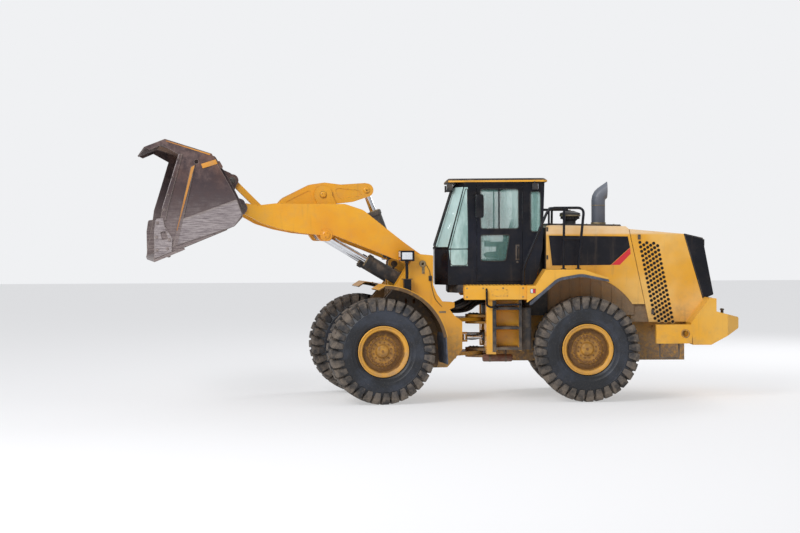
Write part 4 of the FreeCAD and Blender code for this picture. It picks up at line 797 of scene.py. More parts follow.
# %% [markdown]
# ## Tyres
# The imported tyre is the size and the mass; this one is the look. A quarry tyre's lug starts at
# the crown's middle, runs out to the shoulder, folds over it and thins out on the wall. So the
# lug is a strip of eight stations, each with its own radius, width and thickness, and a ring of
# them on each side, half a pitch apart, makes the tread.

# %% Tyre
LUGS = 32
CROWN, SHOULDER, INNER_FLARE = 0.84, 0.25, 1.18
LUG_STATIONS = (  # outer radius, outer y, inner radius, inner y, half width, sweep in radians
    (0.8484, 0.012, 0.795, 0.012, 0.052, 0.0), (0.8484, 0.16, 0.795, 0.16, 0.056, 0.014),
    (0.846, 0.268, 0.785, 0.255, 0.059, 0.03), (0.826, 0.316, 0.765, 0.285, 0.059, 0.036),
    (0.775, 0.3385, 0.745, 0.29, 0.054, 0.044), (0.715, 0.3395, 0.705, 0.29, 0.047, 0.05),
    (0.678, 0.339, 0.68, 0.295, 0.041, 0.054), (0.655, 0.33, 0.66, 0.3, 0.036, 0.056))
WALL = ((0.35, 0.255), (0.412, 0.262), (0.424, 0.282), (0.452, 0.292), (0.462, 0.303),
        (0.474, 0.303), (0.486, 0.305), (0.512, 0.312), (0.518, 0.316), (0.526, 0.315),
        (0.56, 0.321), (0.6, 0.325), (0.636, 0.325), (0.64, 0.328), (0.646, 0.327), (0.655, 0.32),
        (0.7, 0.305), (0.74, 0.285), (0.775, 0.262), (0.795, 0.225), (0.8, 0.1))


def mark_tread(form, value):
    """On a tyre how much a corner meets the ground, on a rim its mud and painted shade:
    value(radius), on the mesh's own layer.
    """
    layer = form.verts.layers.float.new("tread")
    for vertex in form.verts:
        vertex[layer] = value(hypot(vertex.co.x, vertex.co.z))
    return form


def rise(radius, start, run):
    """0 up to a radius of start, then up to 1 over run."""
    return min(1, max(0, (radius - start) / run))


def lug():
    rings = []
    for outer_r, outer_y, inner_r, inner_y, half, sweep in LUG_STATIONS:
        corners = ((outer_r, outer_y, -half), (outer_r, outer_y, half),
                   (inner_r, inner_y, half * INNER_FLARE), (inner_r, inner_y, -half * INNER_FLARE))
        rings.append([(radius * sin(across / radius + sweep), y,
                       radius * cos(across / radius + sweep)) for radius, y, across in corners])
    form = loft(rings)
    outer = [edge for edge in form.edges if all(
        abs(v.co.y) > SHOULDER or hypot(v.co.x, v.co.z) > CROWN for v in edge.verts)]
    return mark_tread(broken(form, outer, 0.007),
                      lambda radius: 0.55 + 0.45 * rise(radius, 0.74, 0.08))


def tyre_mesh():
    profile = list(WALL) + [(radius, -y) for radius, y in reversed(WALL)]
    carcass = turned(profile + [profile[0]], steps=120)
    mark_tread(carcass, lambda radius: rise(radius, 0.69, 0.09))
    near, far = [grow(ring_of_parts, lug(), tyre_rubber, Count=LUGS, Start=start)
                 for start in (0.0, 0.5)]
    return collect([carcass, near, mirrored(far)])


def wheel_piece(kind, mesh, material, smooth, replaced=None):
    """One copy of a wheel part on each of the four wheels."""
    for place, x, side in (("front_left", AXLE_X, 1), ("front_right", AXLE_X, -1),
                           ("rear_left", -AXLE_X, 1), ("rear_right", -AXLE_X, -1)):
        copy = mesh.copy()
        if side < 0:
            copy.transform(MIRROR)
        copy.transform(Matrix.Translation((x, side * TRACK / 2, AXLE_Z)))
        piece = link_piece("%s_%s" % (kind, place), copy, material, "wheel_" + place, smooth)
        if replaced:
            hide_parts(replaced + place)
    bpy.data.meshes.remove(mesh)


tyre = tyre_mesh()
print("one tyre:", len(tyre.polygons), "faces")
wheel_piece("lugged_tyre", tyre, tyre_rubber, 35, "tyre_")

# %% [markdown]
# ### Rims and hubs
# The rim is one turned form, flange to hub cap. Mud packs on the hub, the dish gets painted
# shade, darkest of all, and the tyre wipes the flange clean, so the mesh carries an attribute
# that says how dark each ring is painted. Two bolt circles hold the cover and the wheel: big nuts
# outside, small ones inside.

# %% Rims, hub bolts, drain plug and valve
RIM = ((0, 0.205), (0.072, 0.205), (0.08, 0.203), (0.095, 0.195), (0.101, 0.186), (0.113, 0.156),
       (0.12, 0.154), (0.17, 0.154), (0.176, 0.157), (0.183, 0.169), (0.187, 0.172), (0.237, 0.172),
       (0.242, 0.169), (0.25, 0.15), (0.262, 0.147), (0.319, 0.138), (0.321, 0.15), (0.323, 0.222),
       (0.326, 0.228), (0.336, 0.25), (0.34, 0.263), (0.349, 0.275), (0.352, 0.277), (0.38, 0.281),
       (0.384, 0.284), (0.391, 0.298), (0.394, 0.3), (0.401, 0.3), (0.407, 0.297), (0.411, 0.292),
       (0.411, 0.284), (0.352, 0.262), (0.345, 0.255), (0.345, -0.265), (0.41, -0.285),
       (0.402, -0.299), (0.323, -0.279), (0.323, 0.075), (0.25, 0.116), (0, 0.116))
HUB_FACE, HUB_INNER = 0.172, 0.154


def rim_mesh():
    """Hub with packed mud, dish with painted shade, its outer step and the clean flange, each as
    dark as its number says.
    """
    return collect([mark_tread(turned(RIM, steps=72), lambda radius: (
        0.42 if radius < 0.262 else 0.95 if radius < 0.324 else 0.5 if radius < 0.34 else 0.05))])


def hub_fittings():
    nut = joined([moved(form, 0, HUB_FACE, 0.212) for form in bolt(0.0165, 0.028)])
    stud = joined([moved(form, 0, HUB_INNER, 0.145) for form in bolt(0.01, 0.015)])
    plug = turned([(0, 0.012), (0.02, 0.012), (0.022, 0.008), (0.022, 0), (0, 0)], (0, 0.205, 0),
                  steps=6)
    valve = turned([(0, 0.05), (0.0055, 0.05), (0.008, 0.03), (0.008, 0), (0, 0)],
                   (0.292, 0.141, 0.02), steps=10)
    return collect([grow(ring_of_parts, nut, zinc, Count=24),
                    grow(ring_of_parts, stud, zinc, Count=12, Start=0.5), plug, valve])


wheel_piece("rim", rim_mesh(), wheel_paint, 32, "rim_")
wheel_piece("hub_bolts", hub_fittings(), hub_steel, 30)

# %% [markdown]
# ## Hood
# The side graphic is two plates of film, cut at the same slants as the panel seams, with a thin
# line round the edge. The rear cover breathes through a slanted grid of round holes on each
# side, staggered so that the sheet keeps its strength.

# %% Side graphics
FACE = 0.7501
BLACK_FILM = [(-1.208, 2.632), (-2.505, 2.611), (-2.54, 2.43), (-2.222, 2.144), (-1.262, 2.138)]
RED_FILM = [(-2.542, 2.424), (-2.551, 2.325), (-2.372, 2.144), (-2.232, 2.144)]
LINE_FILM = [(-1.186, 2.64), (-1.2, 2.64), (-1.252, 2.126), (-2.39, 2.132), (-2.39, 2.122),
             (-1.24, 2.114)]
for colour, film, material in (("black", BLACK_FILM, decal_black), ("red", RED_FILM, decal_red),
                               ("line", LINE_FILM, decal_line)):
    pair("hood_film_" + colour, [plate(film, FACE, FACE + 0.0018)], material)

# %% Air holes, latches and seams of the hood
HOLE = 0.0265
hole = turned([(0, 0.0016), (HOLE, 0.0016), (HOLE * 1.08, 0), (0, 0)], steps=14)
rim_of_hole = turned([(HOLE, 0.0016), (HOLE * 1.06, 0.0034), (HOLE * 1.26, 0.0028),
                      (HOLE * 1.32, 0)], steps=14)
GRID = {"Columns": 6, "Rows": 18, "Across": (-0.0568, 0, -0.0038), "Down": (-0.01441, 0, -0.07335)}
HOLES_AT = (-2.702, FACE, 2.511)
# Each hole is a black disc: painted shade where it opens into the dark inside of the hood.
pair("air_holes", [moved(grow(slanted_grid, hole, decal_black, **GRID), *HOLES_AT)], hole_shade)
pair("air_hole_rings", [moved(grow(slanted_grid, rim_of_hole, hood_yellow, **GRID), *HOLES_AT)],
     hood_yellow, 40)
latches = [block(x, x + wide, FACE, FACE + thick, z, z + tall, bevel)
           for x, z, wide, tall, thick, bevel in (
               (-2.712, 2.56, 0.044, 0.08, 0.016, 0.006), (-2.93, 1.33, 0.044, 0.08, 0.016, 0.006),
               (-1.196, 2.7, 0.028, 0.07, 0.012, 0.004), (-1.196, 2.24, 0.028, 0.07, 0.012, 0.004))]
pair("hood_latches", latches, dull_black, 35)
TAIL_LINE = [(-3.429, 2.655), (-3.734, 2.583), (-3.74, 2.56), (-3.44, 2.632)]
TAIL_EDGE = [(-3.4262, 2.64), (-3.73, 1.62), (-3.744, 1.62), (-3.4402, 2.644)]
pair("tail_edging", [plate(TAIL_EDGE, FACE, FACE + 0.006), plate(TAIL_LINE, FACE, FACE + 0.004)],
     dull_black, 35)

# %% [markdown]
# The stack is clamped where it leaves the hood, and a weld ring runs round it higher up. The
# pre-cleaner has a band, a wing nut and a row of fins. Screws hold the cover down.

# %% Stack, pre-cleaner and cover fittings
STACK, CLEANER = (-2.105, 0.0, 0.0), (-1.63, 0.0, 0.0)
clamp = turned([(0.116, 2.812), (0.124, 2.812), (0.125, 2.815), (0.125, 2.845), (0.124, 2.848),
                (0.116, 2.848)], STACK, "Z", 40)
clamp_ear = block(STACK[0] - 0.012, STACK[0] + 0.012, 0.12, 0.15, 2.814, 2.846, 0.003)
weld_ring = turned([(0.1155, 3.128), (0.1185, 3.13), (0.1195, 3.134), (0.1185, 3.138),
                    (0.1155, 3.14)], STACK, "Z", 40)
single("stack_clamp", [clamp, clamp_ear, weld_ring], zinc, 40)
band = turned([(0.1725, 2.952), (0.1755, 2.953), (0.1765, 2.956), (0.1765, 2.972), (0.1755, 2.975),
               (0.1725, 2.976)], CLEANER, "Z", 48)
wing = turned([(0, 3.062), (0.01, 3.062), (0.013, 3.058), (0.014, 3.044), (0, 3.044)], CLEANER, "Z",
              12)
FINS, fins = 24, []
for i in range(FINS):
    fin = block(0.134, 0.16, -0.0025, 0.0025, 2.906, 2.948, 0)
    fin.transform(Matrix.Translation(CLEANER) @ Matrix.Rotation(2 * pi * i / FINS, 4, "Z"))
    fins.append(fin)
single("cleaner_band", [band, wing], zinc, 40)
single("cleaner_fins", fins, dull_black)
cap_screws = []
for x in (-1.25, -1.45, -1.85, -2.3):
    level = 2.8313 - 0.0184 * (-1.165 - x)
    for form in bolt(0.009, 0.007):
        form.transform(Matrix.Translation((x, 0.545, level)) @ Matrix.Rotation(radians(90), 4, "X"))
        cap_screws.append(form)
pair("cover_screws", cap_screws, zinc, 30)

# %% [markdown]
# ## Counterweight and tail
# Lamps sit in frames on the counterweight's shelf, red inside and amber outside. The tow pin has
# a round head, and low steps and a tie-down ring hang on the rear frame's sides.

# %% Tail lamps, tow pin, steps and tie-down ring
RED_Y, AMBER_Y = (0.9, 1.0), (1.01, 1.11)
pair("tail_lamp_frames", [block(-3.879, -3.8692, y0 - 0.008, y1 + 0.008, 1.452, 1.56, 0.003)
                          for y0, y1 in (RED_Y, AMBER_Y)], dull_black, 35)
for colour, (y0, y1), material in (("red", RED_Y, lens_red), ("amber", AMBER_Y, lens_amber)):
    lens = block(-3.886, -3.874, y0 + 0.004, y1 - 0.004, 1.464, 1.548, 0.004)
    pair("tail_lamp_" + colour, [lens], material, 35)
pin_head = turned([(0, 1.392), (0.02, 1.392), (0.034, 1.386), (0.036, 1.366), (0.03, 1.362),
                   (0, 1.362)], (-4.185, 0, 0), "Z", 24)
single("tow_pin_head", [pin_head], pin_steel, 40)
low_step = tube([(-2.96, 1.19, 0.879), (-2.96, 1.19, 0.64), (-3.27, 1.19, 0.64),
                 (-3.27, 1.19, 0.879)], 0.013)
tread_bar = block(-3.26, -2.97, 1.16, 1.22, 0.6375, 0.656, 0.003)
tail_box = block(-3.766, -3.722, 0.6, 0.735, 2.45, 2.56, 0.008)
pair("tail_steps", [low_step, tread_bar, tail_box], dull_black, 45)
tie_ring = turned([(0.054, 1.2501), (0.054, 1.262), (0.066, 1.262), (0.072, 1.2501)],
                  (-3.366, 0, 1.039), steps=40)
pair("tie_down_ring", [tie_ring], low_yellow, 30)

# %% [markdown]
# ## Ladder, platform and rails
# Every step has a raised saw edge for muddy boots, and the deck has rows of pressed buttons.
# The rails are bent tube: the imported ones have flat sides, so smooth ones stand in for them.
# Rubber ends close the arch's trim, and a red and white reflector sits above each of them.

# %% Steps, deck, rails and reflectors
STEP_TOPS = (0.83, 1.161, 1.474)
step_edges = [block(-0.679, -0.309, 1.284, 1.3035, z - 0.034, z + 0.004, 0.003) for z in STEP_TOPS]
for z in STEP_TOPS:
    tooth = plate([(0, 0), (0.022, 0), (0.017, 0.012), (0.005, 0.012)], 1.03, 1.275)
    row = grow(rail_of_parts, tooth, dull_black, Count=12, Step=(0.03, 0, 0))
    step_edges.append(moved(row, -0.669, 0, z + 0.0005))
pair("step_edges", step_edges, dull_black, 30)
post_cover = [block(-0.724, -0.676, 1.2955, 1.304, 0.786, 1.6, 0.003),
              block(-0.312, -0.25, 1.3001, 1.3045, 0.76, 1.59, 0.003)]
pair("ladder_covers", post_cover, dull_black, 30)
riser = [block(-0.7, -0.32, 1.0201, 1.03, z0, z1, 0.008)
         for z0, z1 in ((0.85, 1.11), (1.185, 1.425), (1.5, 1.6))]
pair("step_risers", riser, yellow, 35)
button = turned([(0, 0.005), (0.012, 0.005), (0.017, 0)], axis="Z", steps=10)
deck = moved(grow(slanted_grid, button, yellow, Columns=17, Rows=9, Across=(0.056, 0, 0),
                  Down=(0, 0.056, 0)), -0.755, 0.845, 1.8312)
deck_screws = bolts_at([(-0.74, 1.79), (-0.42, 1.79), (-0.1, 1.79), (0.16, 1.79), (-0.74, 1.65),
                        (0.16, 1.65)], 0.01, 0.008, 1.3501)
pair("deck_buttons", [deck], yellow, 50)
pair("deck_screws", deck_screws, zinc, 30)
grabs = [tube([(-0.154, 1.32, 1.79), (-0.154, 1.385, 1.752), (-0.16, 1.385, 1.52),
               (-0.2, 1.385, 1.49), (-0.3, 1.385, 1.485), (-0.33, 1.32, 1.485)], 0.017),
         tube([(-0.285, 1.29, 1.47), (-0.3, 1.385, 1.52), (-0.69, 1.385, 1.53), (-0.7, 1.29, 1.53)],
              0.017)]
pair("grab_bars", grabs, black_paint, 50)
RAIL_Y = 1.15
HOOP = [(-0.76, 1.8315), (-0.76, 2.11), (-1.176, 3.078), (-1.748, 3.078), (-1.646, 2.0892)]
rails = [tube([(x, RAIL_Y, z) for x, z in HOOP], 0.022, bend=0.11, steps=8),
         tube([(-1.215, RAIL_Y, 3.078), (-1.215, 0.7, 3.078), (-1.215, 0.69, 2.806)], 0.017,
              bend=0.1, steps=8),
         tube([(-1.411, RAIL_Y, 2.0892), (-1.425, RAIL_Y, 3.078)], 0.021),
         tube([(-1.4185, RAIL_Y, 2.575), (-1.694, RAIL_Y, 2.575)], 0.018)]
FLANGE = ((0, 0.014), (0.04, 0.014), (0.044, 0.01), (0.045, 0.0), (0, 0.0))
for x, z in ((-0.76, 1.8315), (-1.411, 2.0855), (-1.646, 2.0855)):
    rails.append(turned([(radius, z + height) for radius, height in FLANGE], (x, RAIL_Y, 0), "Z",
                        24))
handrails = pair("smooth_handrails", rails, black_paint, 40)
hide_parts("handrails")
TRIM_END = [(-1.052, 1.684), (-1.01, 1.7095), (-0.8425, 1.5595), (-0.8425, 1.52), (-0.872, 1.522)]
pair("arch_trim_ends", [plate(TRIM_END, 1.33, 1.434, 0.004)], strip_rubber, 35)
pair("reflector_backing", [block(-0.938, -0.852, 1.4202, 1.4245, 1.708, 1.782, 0.002)], dull_black)
for colour, x0, x1, lens in (("red", -0.932, -0.895, lens_red),
                             ("white", -0.893, -0.858, lens_clear)):
    pair("reflector_" + colour, [block(x0, x1, 1.424, 1.4275, 1.715, 1.775, 0.001)], lens)

# %% [markdown]
# ## Cab
# Glass sits in a black rubber seal, which is what makes a window read as a window. The seals
# follow each opening. Then come the wiper, the mirror's glass, the lamps' lenses and the yellow
# band round the roof.

# %% Window seals, wiper and door fittings
SEAL = 0.009
SILL = 2.407
LEAN = 0.02 / 1.103
NOSE_LEAN = 0.346 / 1.103


def side_y(z):
    """The cab's side at a height: upright up to the sill, and leaning in above it."""
    return 0.8 - max(0, z - SILL) * LEAN


def side_seal(corners):
    """Seal round a side window, its corners (x, z) laid on the cab's side."""
    return tube([(x, side_y(z) - 0.001, z) for x, z in corners], SEAL, closed=True)


DOOR_PANES = ([(-0.087, 2.745), (-0.087, 3.4), (-0.714, 3.4), (-0.714, 2.745)],
              [(-0.087, 2.218), (-0.087, 2.65), (-0.569, 2.65), (-0.5, 2.218)])
FIXED_PANES = ([(-0.904, 2.694), (-1.075, 2.694), (-1.075, 3.36), (-0.904, 3.36)],
               [(0.405, 2.15), (0.405, 2.44), (0.155, 3.4), (0.125, 3.4), (0.125, 2.15)])


def nose_x(z):
    """The windscreen's plane at a height."""
    return 0.66 - max(0, z - SILL) * NOSE_LEAN


def on_doors(*rows):
    """Pieces from (name, parts, material, smooth) rows, on the left door and mirrored."""
    for side, matrix in (("left", Matrix.Identity(4)), ("right", MIRROR)):
        for name, parts, material, smooth in rows:
            mesh = collect([part.copy() for part in parts])
            mesh.transform(matrix)
            link_piece("%s_%s" % (name, side), mesh, material, "door_" + side, smooth)


on_doors(("door_seals", [side_seal(corners) for corners in DOOR_PANES], hose_rubber, 60))
pair("cab_seals", [side_seal(corners) for corners in FIXED_PANES], hose_rubber, 60)
front_corners = [(nose_x(z) + 0.001, y, z) for y, z in ((-0.47, 2.455), (0.47, 2.455),
                                                        (0.52, 3.42), (-0.52, 3.42))]
single("windscreen_seal", [tube(front_corners, SEAL, True)], hose_rubber, 60)
rear_corners = [(-1.102 - (z - SILL) * 0.036, y, z) for y, z in ((-0.6, 2.56), (0.6, 2.56),
                                                                 (0.6, 3.4), (-0.6, 3.4))]
single("rear_seal", [tube(rear_corners, SEAL, True)], hose_rubber, 60)
wiper = [tube([(nose_x(2.44) + 0.014, 0.05, 2.44), (nose_x(2.95) + 0.022, -0.16, 2.95)], 0.007),
         tube([(nose_x(2.62) + 0.012, -0.19, 2.62), (nose_x(3.25) + 0.012, -0.14, 3.25)], 0.006)]
motor = block(nose_x(2.44) + 0.001, nose_x(2.44) + 0.03, 0.02, 0.08, 2.41, 2.45, 0.006)
single("wiper", wiper + [motor], dull_black, 50)
side_bar = tube([(0.65, 0.5, 2.47), (0.655, 0.64, 2.47), (0.35, 0.64, 3.43), (0.33, 0.5, 3.44)],
                0.011)
pair("front_grab_bar", [side_bar], black_paint, 50)
mirror_glass = block(-0.1335, -0.1282, 0.99, 1.04, 2.958, 3.262, 0.002)
mirror_bezel = block(-0.131, -0.1281, 0.985, 1.045, 2.95, 3.27, 0.001)
on_doors(("mirror_glass", [mirror_glass], mirror_silver, None),
         ("mirror_bezel", [mirror_bezel], dull_black, None))
shell = block(-0.1275, 0.004, 0.978, 1.052, 2.925, 3.305, 0.024)
mullion = block(-0.402, -0.38, 0.77, 0.7985, 2.735, 3.408, 0.003)
on_doors(("mirror_shell", [shell, mullion], black_paint, 45))
lock = turned([(0, 0.01), (0.016, 0.01), (0.019, 0.007), (0.019, 0), (0, 0)], (-0.69, 0.7998, 2.2),
              steps=20)
pull = block(-0.722, -0.66, 0.7998, 0.806, 2.235, 2.485, 0.003)
on_doors(("door_lock", [lock, pull], dull_black, 35))

# %% [markdown]
# The big panes of a modern cab are bonded on from outside and cover the posts behind them. Each
# bonded pane is laid on its own plane of the cab, with the black border that hides the glue.

# %% Bonded corner and side panes
def pane(corners, lift, depth, inset=0.0):
    """Flat pane through four or more corners, pushed out by lift, its edge drawn in by inset."""
    points = [Vector(corner) for corner in corners]
    middle = sum(points, Vector()) / len(points)
    normal = (points[1] - points[0]).cross(points[2] - points[0]).normalized()
    if normal.y < 0:
        normal = -normal
    return loft([[point + (middle - point).normalized() * inset + normal * height
                  for point in points] for height in (lift, lift + depth)])


CORNER_PANE = [(0.452, 0.797, 2.43), (0.655, 0.533, 2.43), (0.333, 0.582, 3.45),
               (0.178, 0.782, 3.45)]
SIDE_PANE = [(x, side_y(z), z) for x, z in ((0.436, 2.42), (0.176, 3.44), (0.118, 3.44),
                                            (0.118, 2.42))]
LOW_PANE = [(0.118, 0.8, 2.135), (0.408, 0.8, 2.135), (0.442, 0.8, 2.412), (0.118, 0.8, 2.412)]
pair("corner_pane_borders", [pane(CORNER_PANE, 0.001, 0.003)], black_paint)
pair("corner_panes", [pane(CORNER_PANE, 0.0045, 0.004, 0.022)], sky_reflection_glass)
pair("side_panes", [pane(SIDE_PANE, 0.0015, 0.004, 0.01), pane(LOW_PANE, 0.0015, 0.004, 0.01)],
     bonded_glass)

# %% Roof band, lamp lenses, seat and cab interior
ROOF_PLAN = [(-1.182, 0.752), (-1.166, 0.808), (-1.12, 0.842), (0.35, 0.725), (0.425, 0.7),
             (0.4695, 0.61)]


def roof_band():
    """Thin strip that wraps the roof's side, from the rear corner to the front corner."""
    rings = []
    for i, (x, y) in enumerate(ROOF_PLAN):
        before, after = ROOF_PLAN[max(0, i - 1)], ROOF_PLAN[min(len(ROOF_PLAN) - 1, i + 1)]
        run = Vector((after[0] - before[0], after[1] - before[1])).normalized()
        out = Vector((-run.y, run.x)) * 0.004
        rings.append([(x + out.x * k, y + out.y * k, z)
                      for k, z in ((0, 3.514), (1, 3.514), (1, 3.543), (0, 3.543))])
    return loft(rings)


pair("roof_band", [roof_band()], yellow, 40)
pair("roof_lamp_lenses", [block(0.4545, 0.462, 0.572, 0.708, 3.392, 3.478, 0.003),
                          block(-1.033, -1.0255, 0.8, 0.872, 3.392, 3.478, 0.003)], lens_clear, 35)
lens_rim = [(0.4555, y, z) for y, z in ((0.566, 3.386), (0.714, 3.386), (0.714, 3.484),
                                        (0.566, 3.484))]
pair("roof_lamp_rims", [tube(lens_rim, 0.005, closed=True, bend=0.012)], dull_black, 50)

PAD_STEPS = 14
BOLSTER = 0.018


def pad(centre, along, up, half_y, half_u, thick, crown):
    """Crowned pad: two grids whose middle stands out, the top one with bolsters."""
    form = bmesh.new()
    shares = [2 * i / PAD_STEPS - 1 for i in range(PAD_STEPS + 1)]
    for top in (1, 0):
        rows = []
        for u in shares:
            row = []
            for v in shares:
                rounding = ((1 - u ** 6) * (1 - v ** 6)) ** 0.35
                raised = crown * (1 - u * u) * (1 - v * v) + BOLSTER * abs(v) ** 3 * (1 - v ** 10)
                height = (thick / 2 if top else -thick / 2) * rounding + top * raised
                place = Vector(centre) + Vector((0, half_y * v, 0))
                row.append(form.verts.new(place + Vector(along) * half_u * u + Vector(up) * height))
            rows.append(row)
        for a, b in zip(rows, rows[1:]):
            for k in range(PAD_STEPS):
                form.faces.new((a[k], a[k + 1], b[k + 1], b[k]))
    return form


RECLINE = radians(9)
cushion = pad((-0.415, 0, 2.306), (1, 0, 0), (0, 0, 1), 0.21, 0.235, 0.095, 0.012)
back = pad((-0.645, 0, 2.64), (-sin(RECLINE), 0, cos(RECLINE)), (cos(RECLINE), 0, sin(RECLINE)),
           0.205, 0.285, 0.085, 0.014)
seat = single("padded_seat", [cushion, back], seat_fabric, 60)
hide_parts("seat_cushion")
console = [block(0.24, 0.42, 0.08, 0.22, 2.42, 2.56, 0.02),
           block(-0.3, 0.0, -0.335, -0.275, 2.532, 2.552, 0.006)]
KNOB = [(0, 2.672), (0.012, 2.668), (0.016, 2.655), (0.012, 2.636), (0, 2.632)]
for x in (-0.24, -0.18, -0.12):
    console += [tube([(x, -0.32, 2.535), (x + 0.01, -0.32, 2.64)], 0.006),
                turned(KNOB, (x + 0.01, -0.32, 0), "Z", 14)]
single("console", console, dull_black, 40)

# %% [markdown]
# ## Wheel arch, chassis and the black gap under the cab
# Through the rear arch one sees a dusty liner with pressed ribs. Under the cab a red air tank
# hangs behind the steps, beside a battery locker, and dark sheets behind and under the cab are
# painted shade in the gap there. The bolts in the frame and on the hitch's caps are as big as a
# fist.

# %% Liner ribs, air tank, locker, frame bolts and hitch caps
TANK, STRAPS_AT = (0, 0.9, 0.64), (-0.5, -0.24)
ribs = [block(-1.235 - i * 0.172, -1.205 - i * 0.172, 0.7275, 0.7365, 1.345, 2.04, 0.004)
        for i in range(8)]
ribs.append(block(-2.56, -1.2, 0.7275, 0.7345, 1.94, 1.965, 0.003))
pair("liner_ribs", ribs, arch_tan, 35)
tank = turned([(0, -0.6), (0.045, -0.594), (0.062, -0.575), (0.062, -0.125), (0.045, -0.106),
               (0, -0.1)], TANK, "X", 28)
straps = [turned([(0.0625, x), (0.065, x), (0.065, x + 0.03), (0.0625, x + 0.03)], TANK, "X", 28)
          for x in STRAPS_AT]
hangers = [block(x, x + 0.03, 0.88, 0.92, 0.695, 0.7805, 0.002) for x in STRAPS_AT]
pair("air_tank", [tank], tank_red, 40)
pair("air_tank_straps", straps + hangers, dull_black, 40)
# Dark sheets behind and under the cab are painted shade in the gaps there.
gap_shades = [block(-1.164, -1.148, -0.69, 0.69, 1.84, 2.76, 0.004),
        block(-1.186, -0.985, -0.795, 0.795, 1.7, 1.828, 0.004),
        *[block(-1.18, -0.806, y, y + 0.028, 1.325, 1.826, 0.004) for y in (0.77, -0.798)]]
single("cab_gap_shade", gap_shades, dull_black, 35)
locker = [block(-0.884, -0.732, 0.64, 1.18, 0.79, 1.47, 0.01),
          block(-0.87, -0.745, 1.1805, 1.19, 0.83, 1.13, 0.004),
          block(-0.87, -0.745, 1.1805, 1.19, 1.15, 1.44, 0.004)]
pair("battery_locker", locker, dull_black, 35)
deck_plate = block(-0.5, -0.23, 1.3501, 1.3535, 1.655, 1.775, 0.001)
pair("deck_hatch", [deck_plate], yellow, 35)
tank_screws = bolts_at([(-0.6, 1.1), (-0.3, 1.1), (-0.6, 0.86), (-0.3, 0.86)], 0.01, 0.008, 1.0001)
pair("tank_screws", tank_screws, zinc, 30)
frame_bolts = bolts_at([*((x, z) for x in (-1.35, -1.3, -2.25, -2.2) for z in (1.08, 1.16)),
                        (-2.95, 1.1), (-3.1, 1.1), (-3.25, 1.1)], 0.019, 0.018, 0.4201)
pair("frame_bolts", frame_bolts, low_yellow, 30)
hitch_parts = []
for z in (0.68, 1.24):
    plate_ring = turned([(0, z + 0.0765), (0.082, z + 0.0765), (0.092, z + 0.08), (0.092, z + 0.09),
                         (0.086, z + 0.094), (0, z + 0.094)], (0, 0, 0), "Z", 32)
    hitch_parts.append(plate_ring)
    ring = grow(ring_of_parts, joined([moved(form, 0, 0, 0.066) for form in bolt(0.009, 0.008)]),
                zinc, Count=6)
    ring.transform(Matrix.Translation((0, 0, z + 0.094)) @ Matrix.Rotation(radians(90), 4, "X"))
    hitch_parts.append(ring)
single("hitch_caps", hitch_parts, dark_steel, 35)

# %% [markdown]
# Hoses bridge the hitch. They lie close to the steering pin, where a turn moves them least, and
# curve between the two halves: their rear end is laid out on the chassis and their front end on
# the front half, as one still mesh that rides on neither.

# %% Hoses across the hitch
def bridge_hoses(name, rows, back, front, radius):
    """Hoses on both sides through (x, z) points, each row moved out by y and up by lift."""
    parts = []
    for side in (1, -1):
        for y, lift in rows:
            path = [HALF[half] @ Vector((x, side * y, z + lift))
                    for half, points in (("rear", back), ("front", front)) for x, z in points]
            parts.append(tube(path, radius, bend=0.14, steps=8))
    mesh = collect(parts, name)
    mesh.materials.append(hose_rubber)
    mesh.shade_smooth()
    piece = bpy.data.objects.new(name, mesh)
    bpy.context.scene.collection.objects.link(piece)
    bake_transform(piece)


bridge_hoses("upper_hitch_hoses", ((0.1, 0.0), (0.158, 0.035), (0.216, -0.01)),
             ((-0.52, 1.335), (-0.33, 1.52), (-0.06, 1.52)),
             ((0.12, 1.4), (0.32, 1.37), (0.598, 1.4)), 0.021)
bridge_hoses("lower_hitch_hoses", ((0.05, 0.0), (0.095, -0.05)),
             ((-0.418, 1.08), (-0.26, 1.02), (-0.06, 0.96)),
             ((0.08, 0.95), (0.26, 0.99), (0.44, 1.06)), 0.017)
bridge_hoses("high_hitch_hoses", ((0.15, -0.01), (0.27, 0.012), (0.33, -0.02)),
             ((-0.455, 1.64), (-0.25, 1.625), (0.02, 1.61)),
             ((0.18, 1.52), (0.36, 1.44), (0.599, 1.46)), 0.025)
manifold = [block(-0.33, -0.14, -0.235, 0.235, 1.3205, 1.48, 0.01),
            block(-0.42, -0.2, -0.2, 0.2, 1.181, 1.235, 0.01)]
for y in (-0.19, -0.1, 0.0, 0.1, 0.19):
    manifold += [turned([(0, 1.51), (0.018, 1.506), (0.022, 1.48), (0, 1.48)], (-0.19, y, 0), "Z",
                        6)]
single("valve_block", manifold, dark_steel, 35)
single("front_manifold", [block(0.56, 0.5995, -0.45, 0.45, 1.32, 1.495, 0.006)], dark_steel, 35,
       "front_chassis")
pair("arch_rear_panels", [block(-2.84, -2.56, 0.69, 0.7, 1.207, 1.56, 0.003)], arch_tan, 35)

# %% [markdown]
# ## Front frame, fenders and lamps
# A keeper plate stops each boom pin from turning. The fender's front edge has a folded lip in the
# machine's colour, and each lamp stands on its own post with a turn signal under its lens.

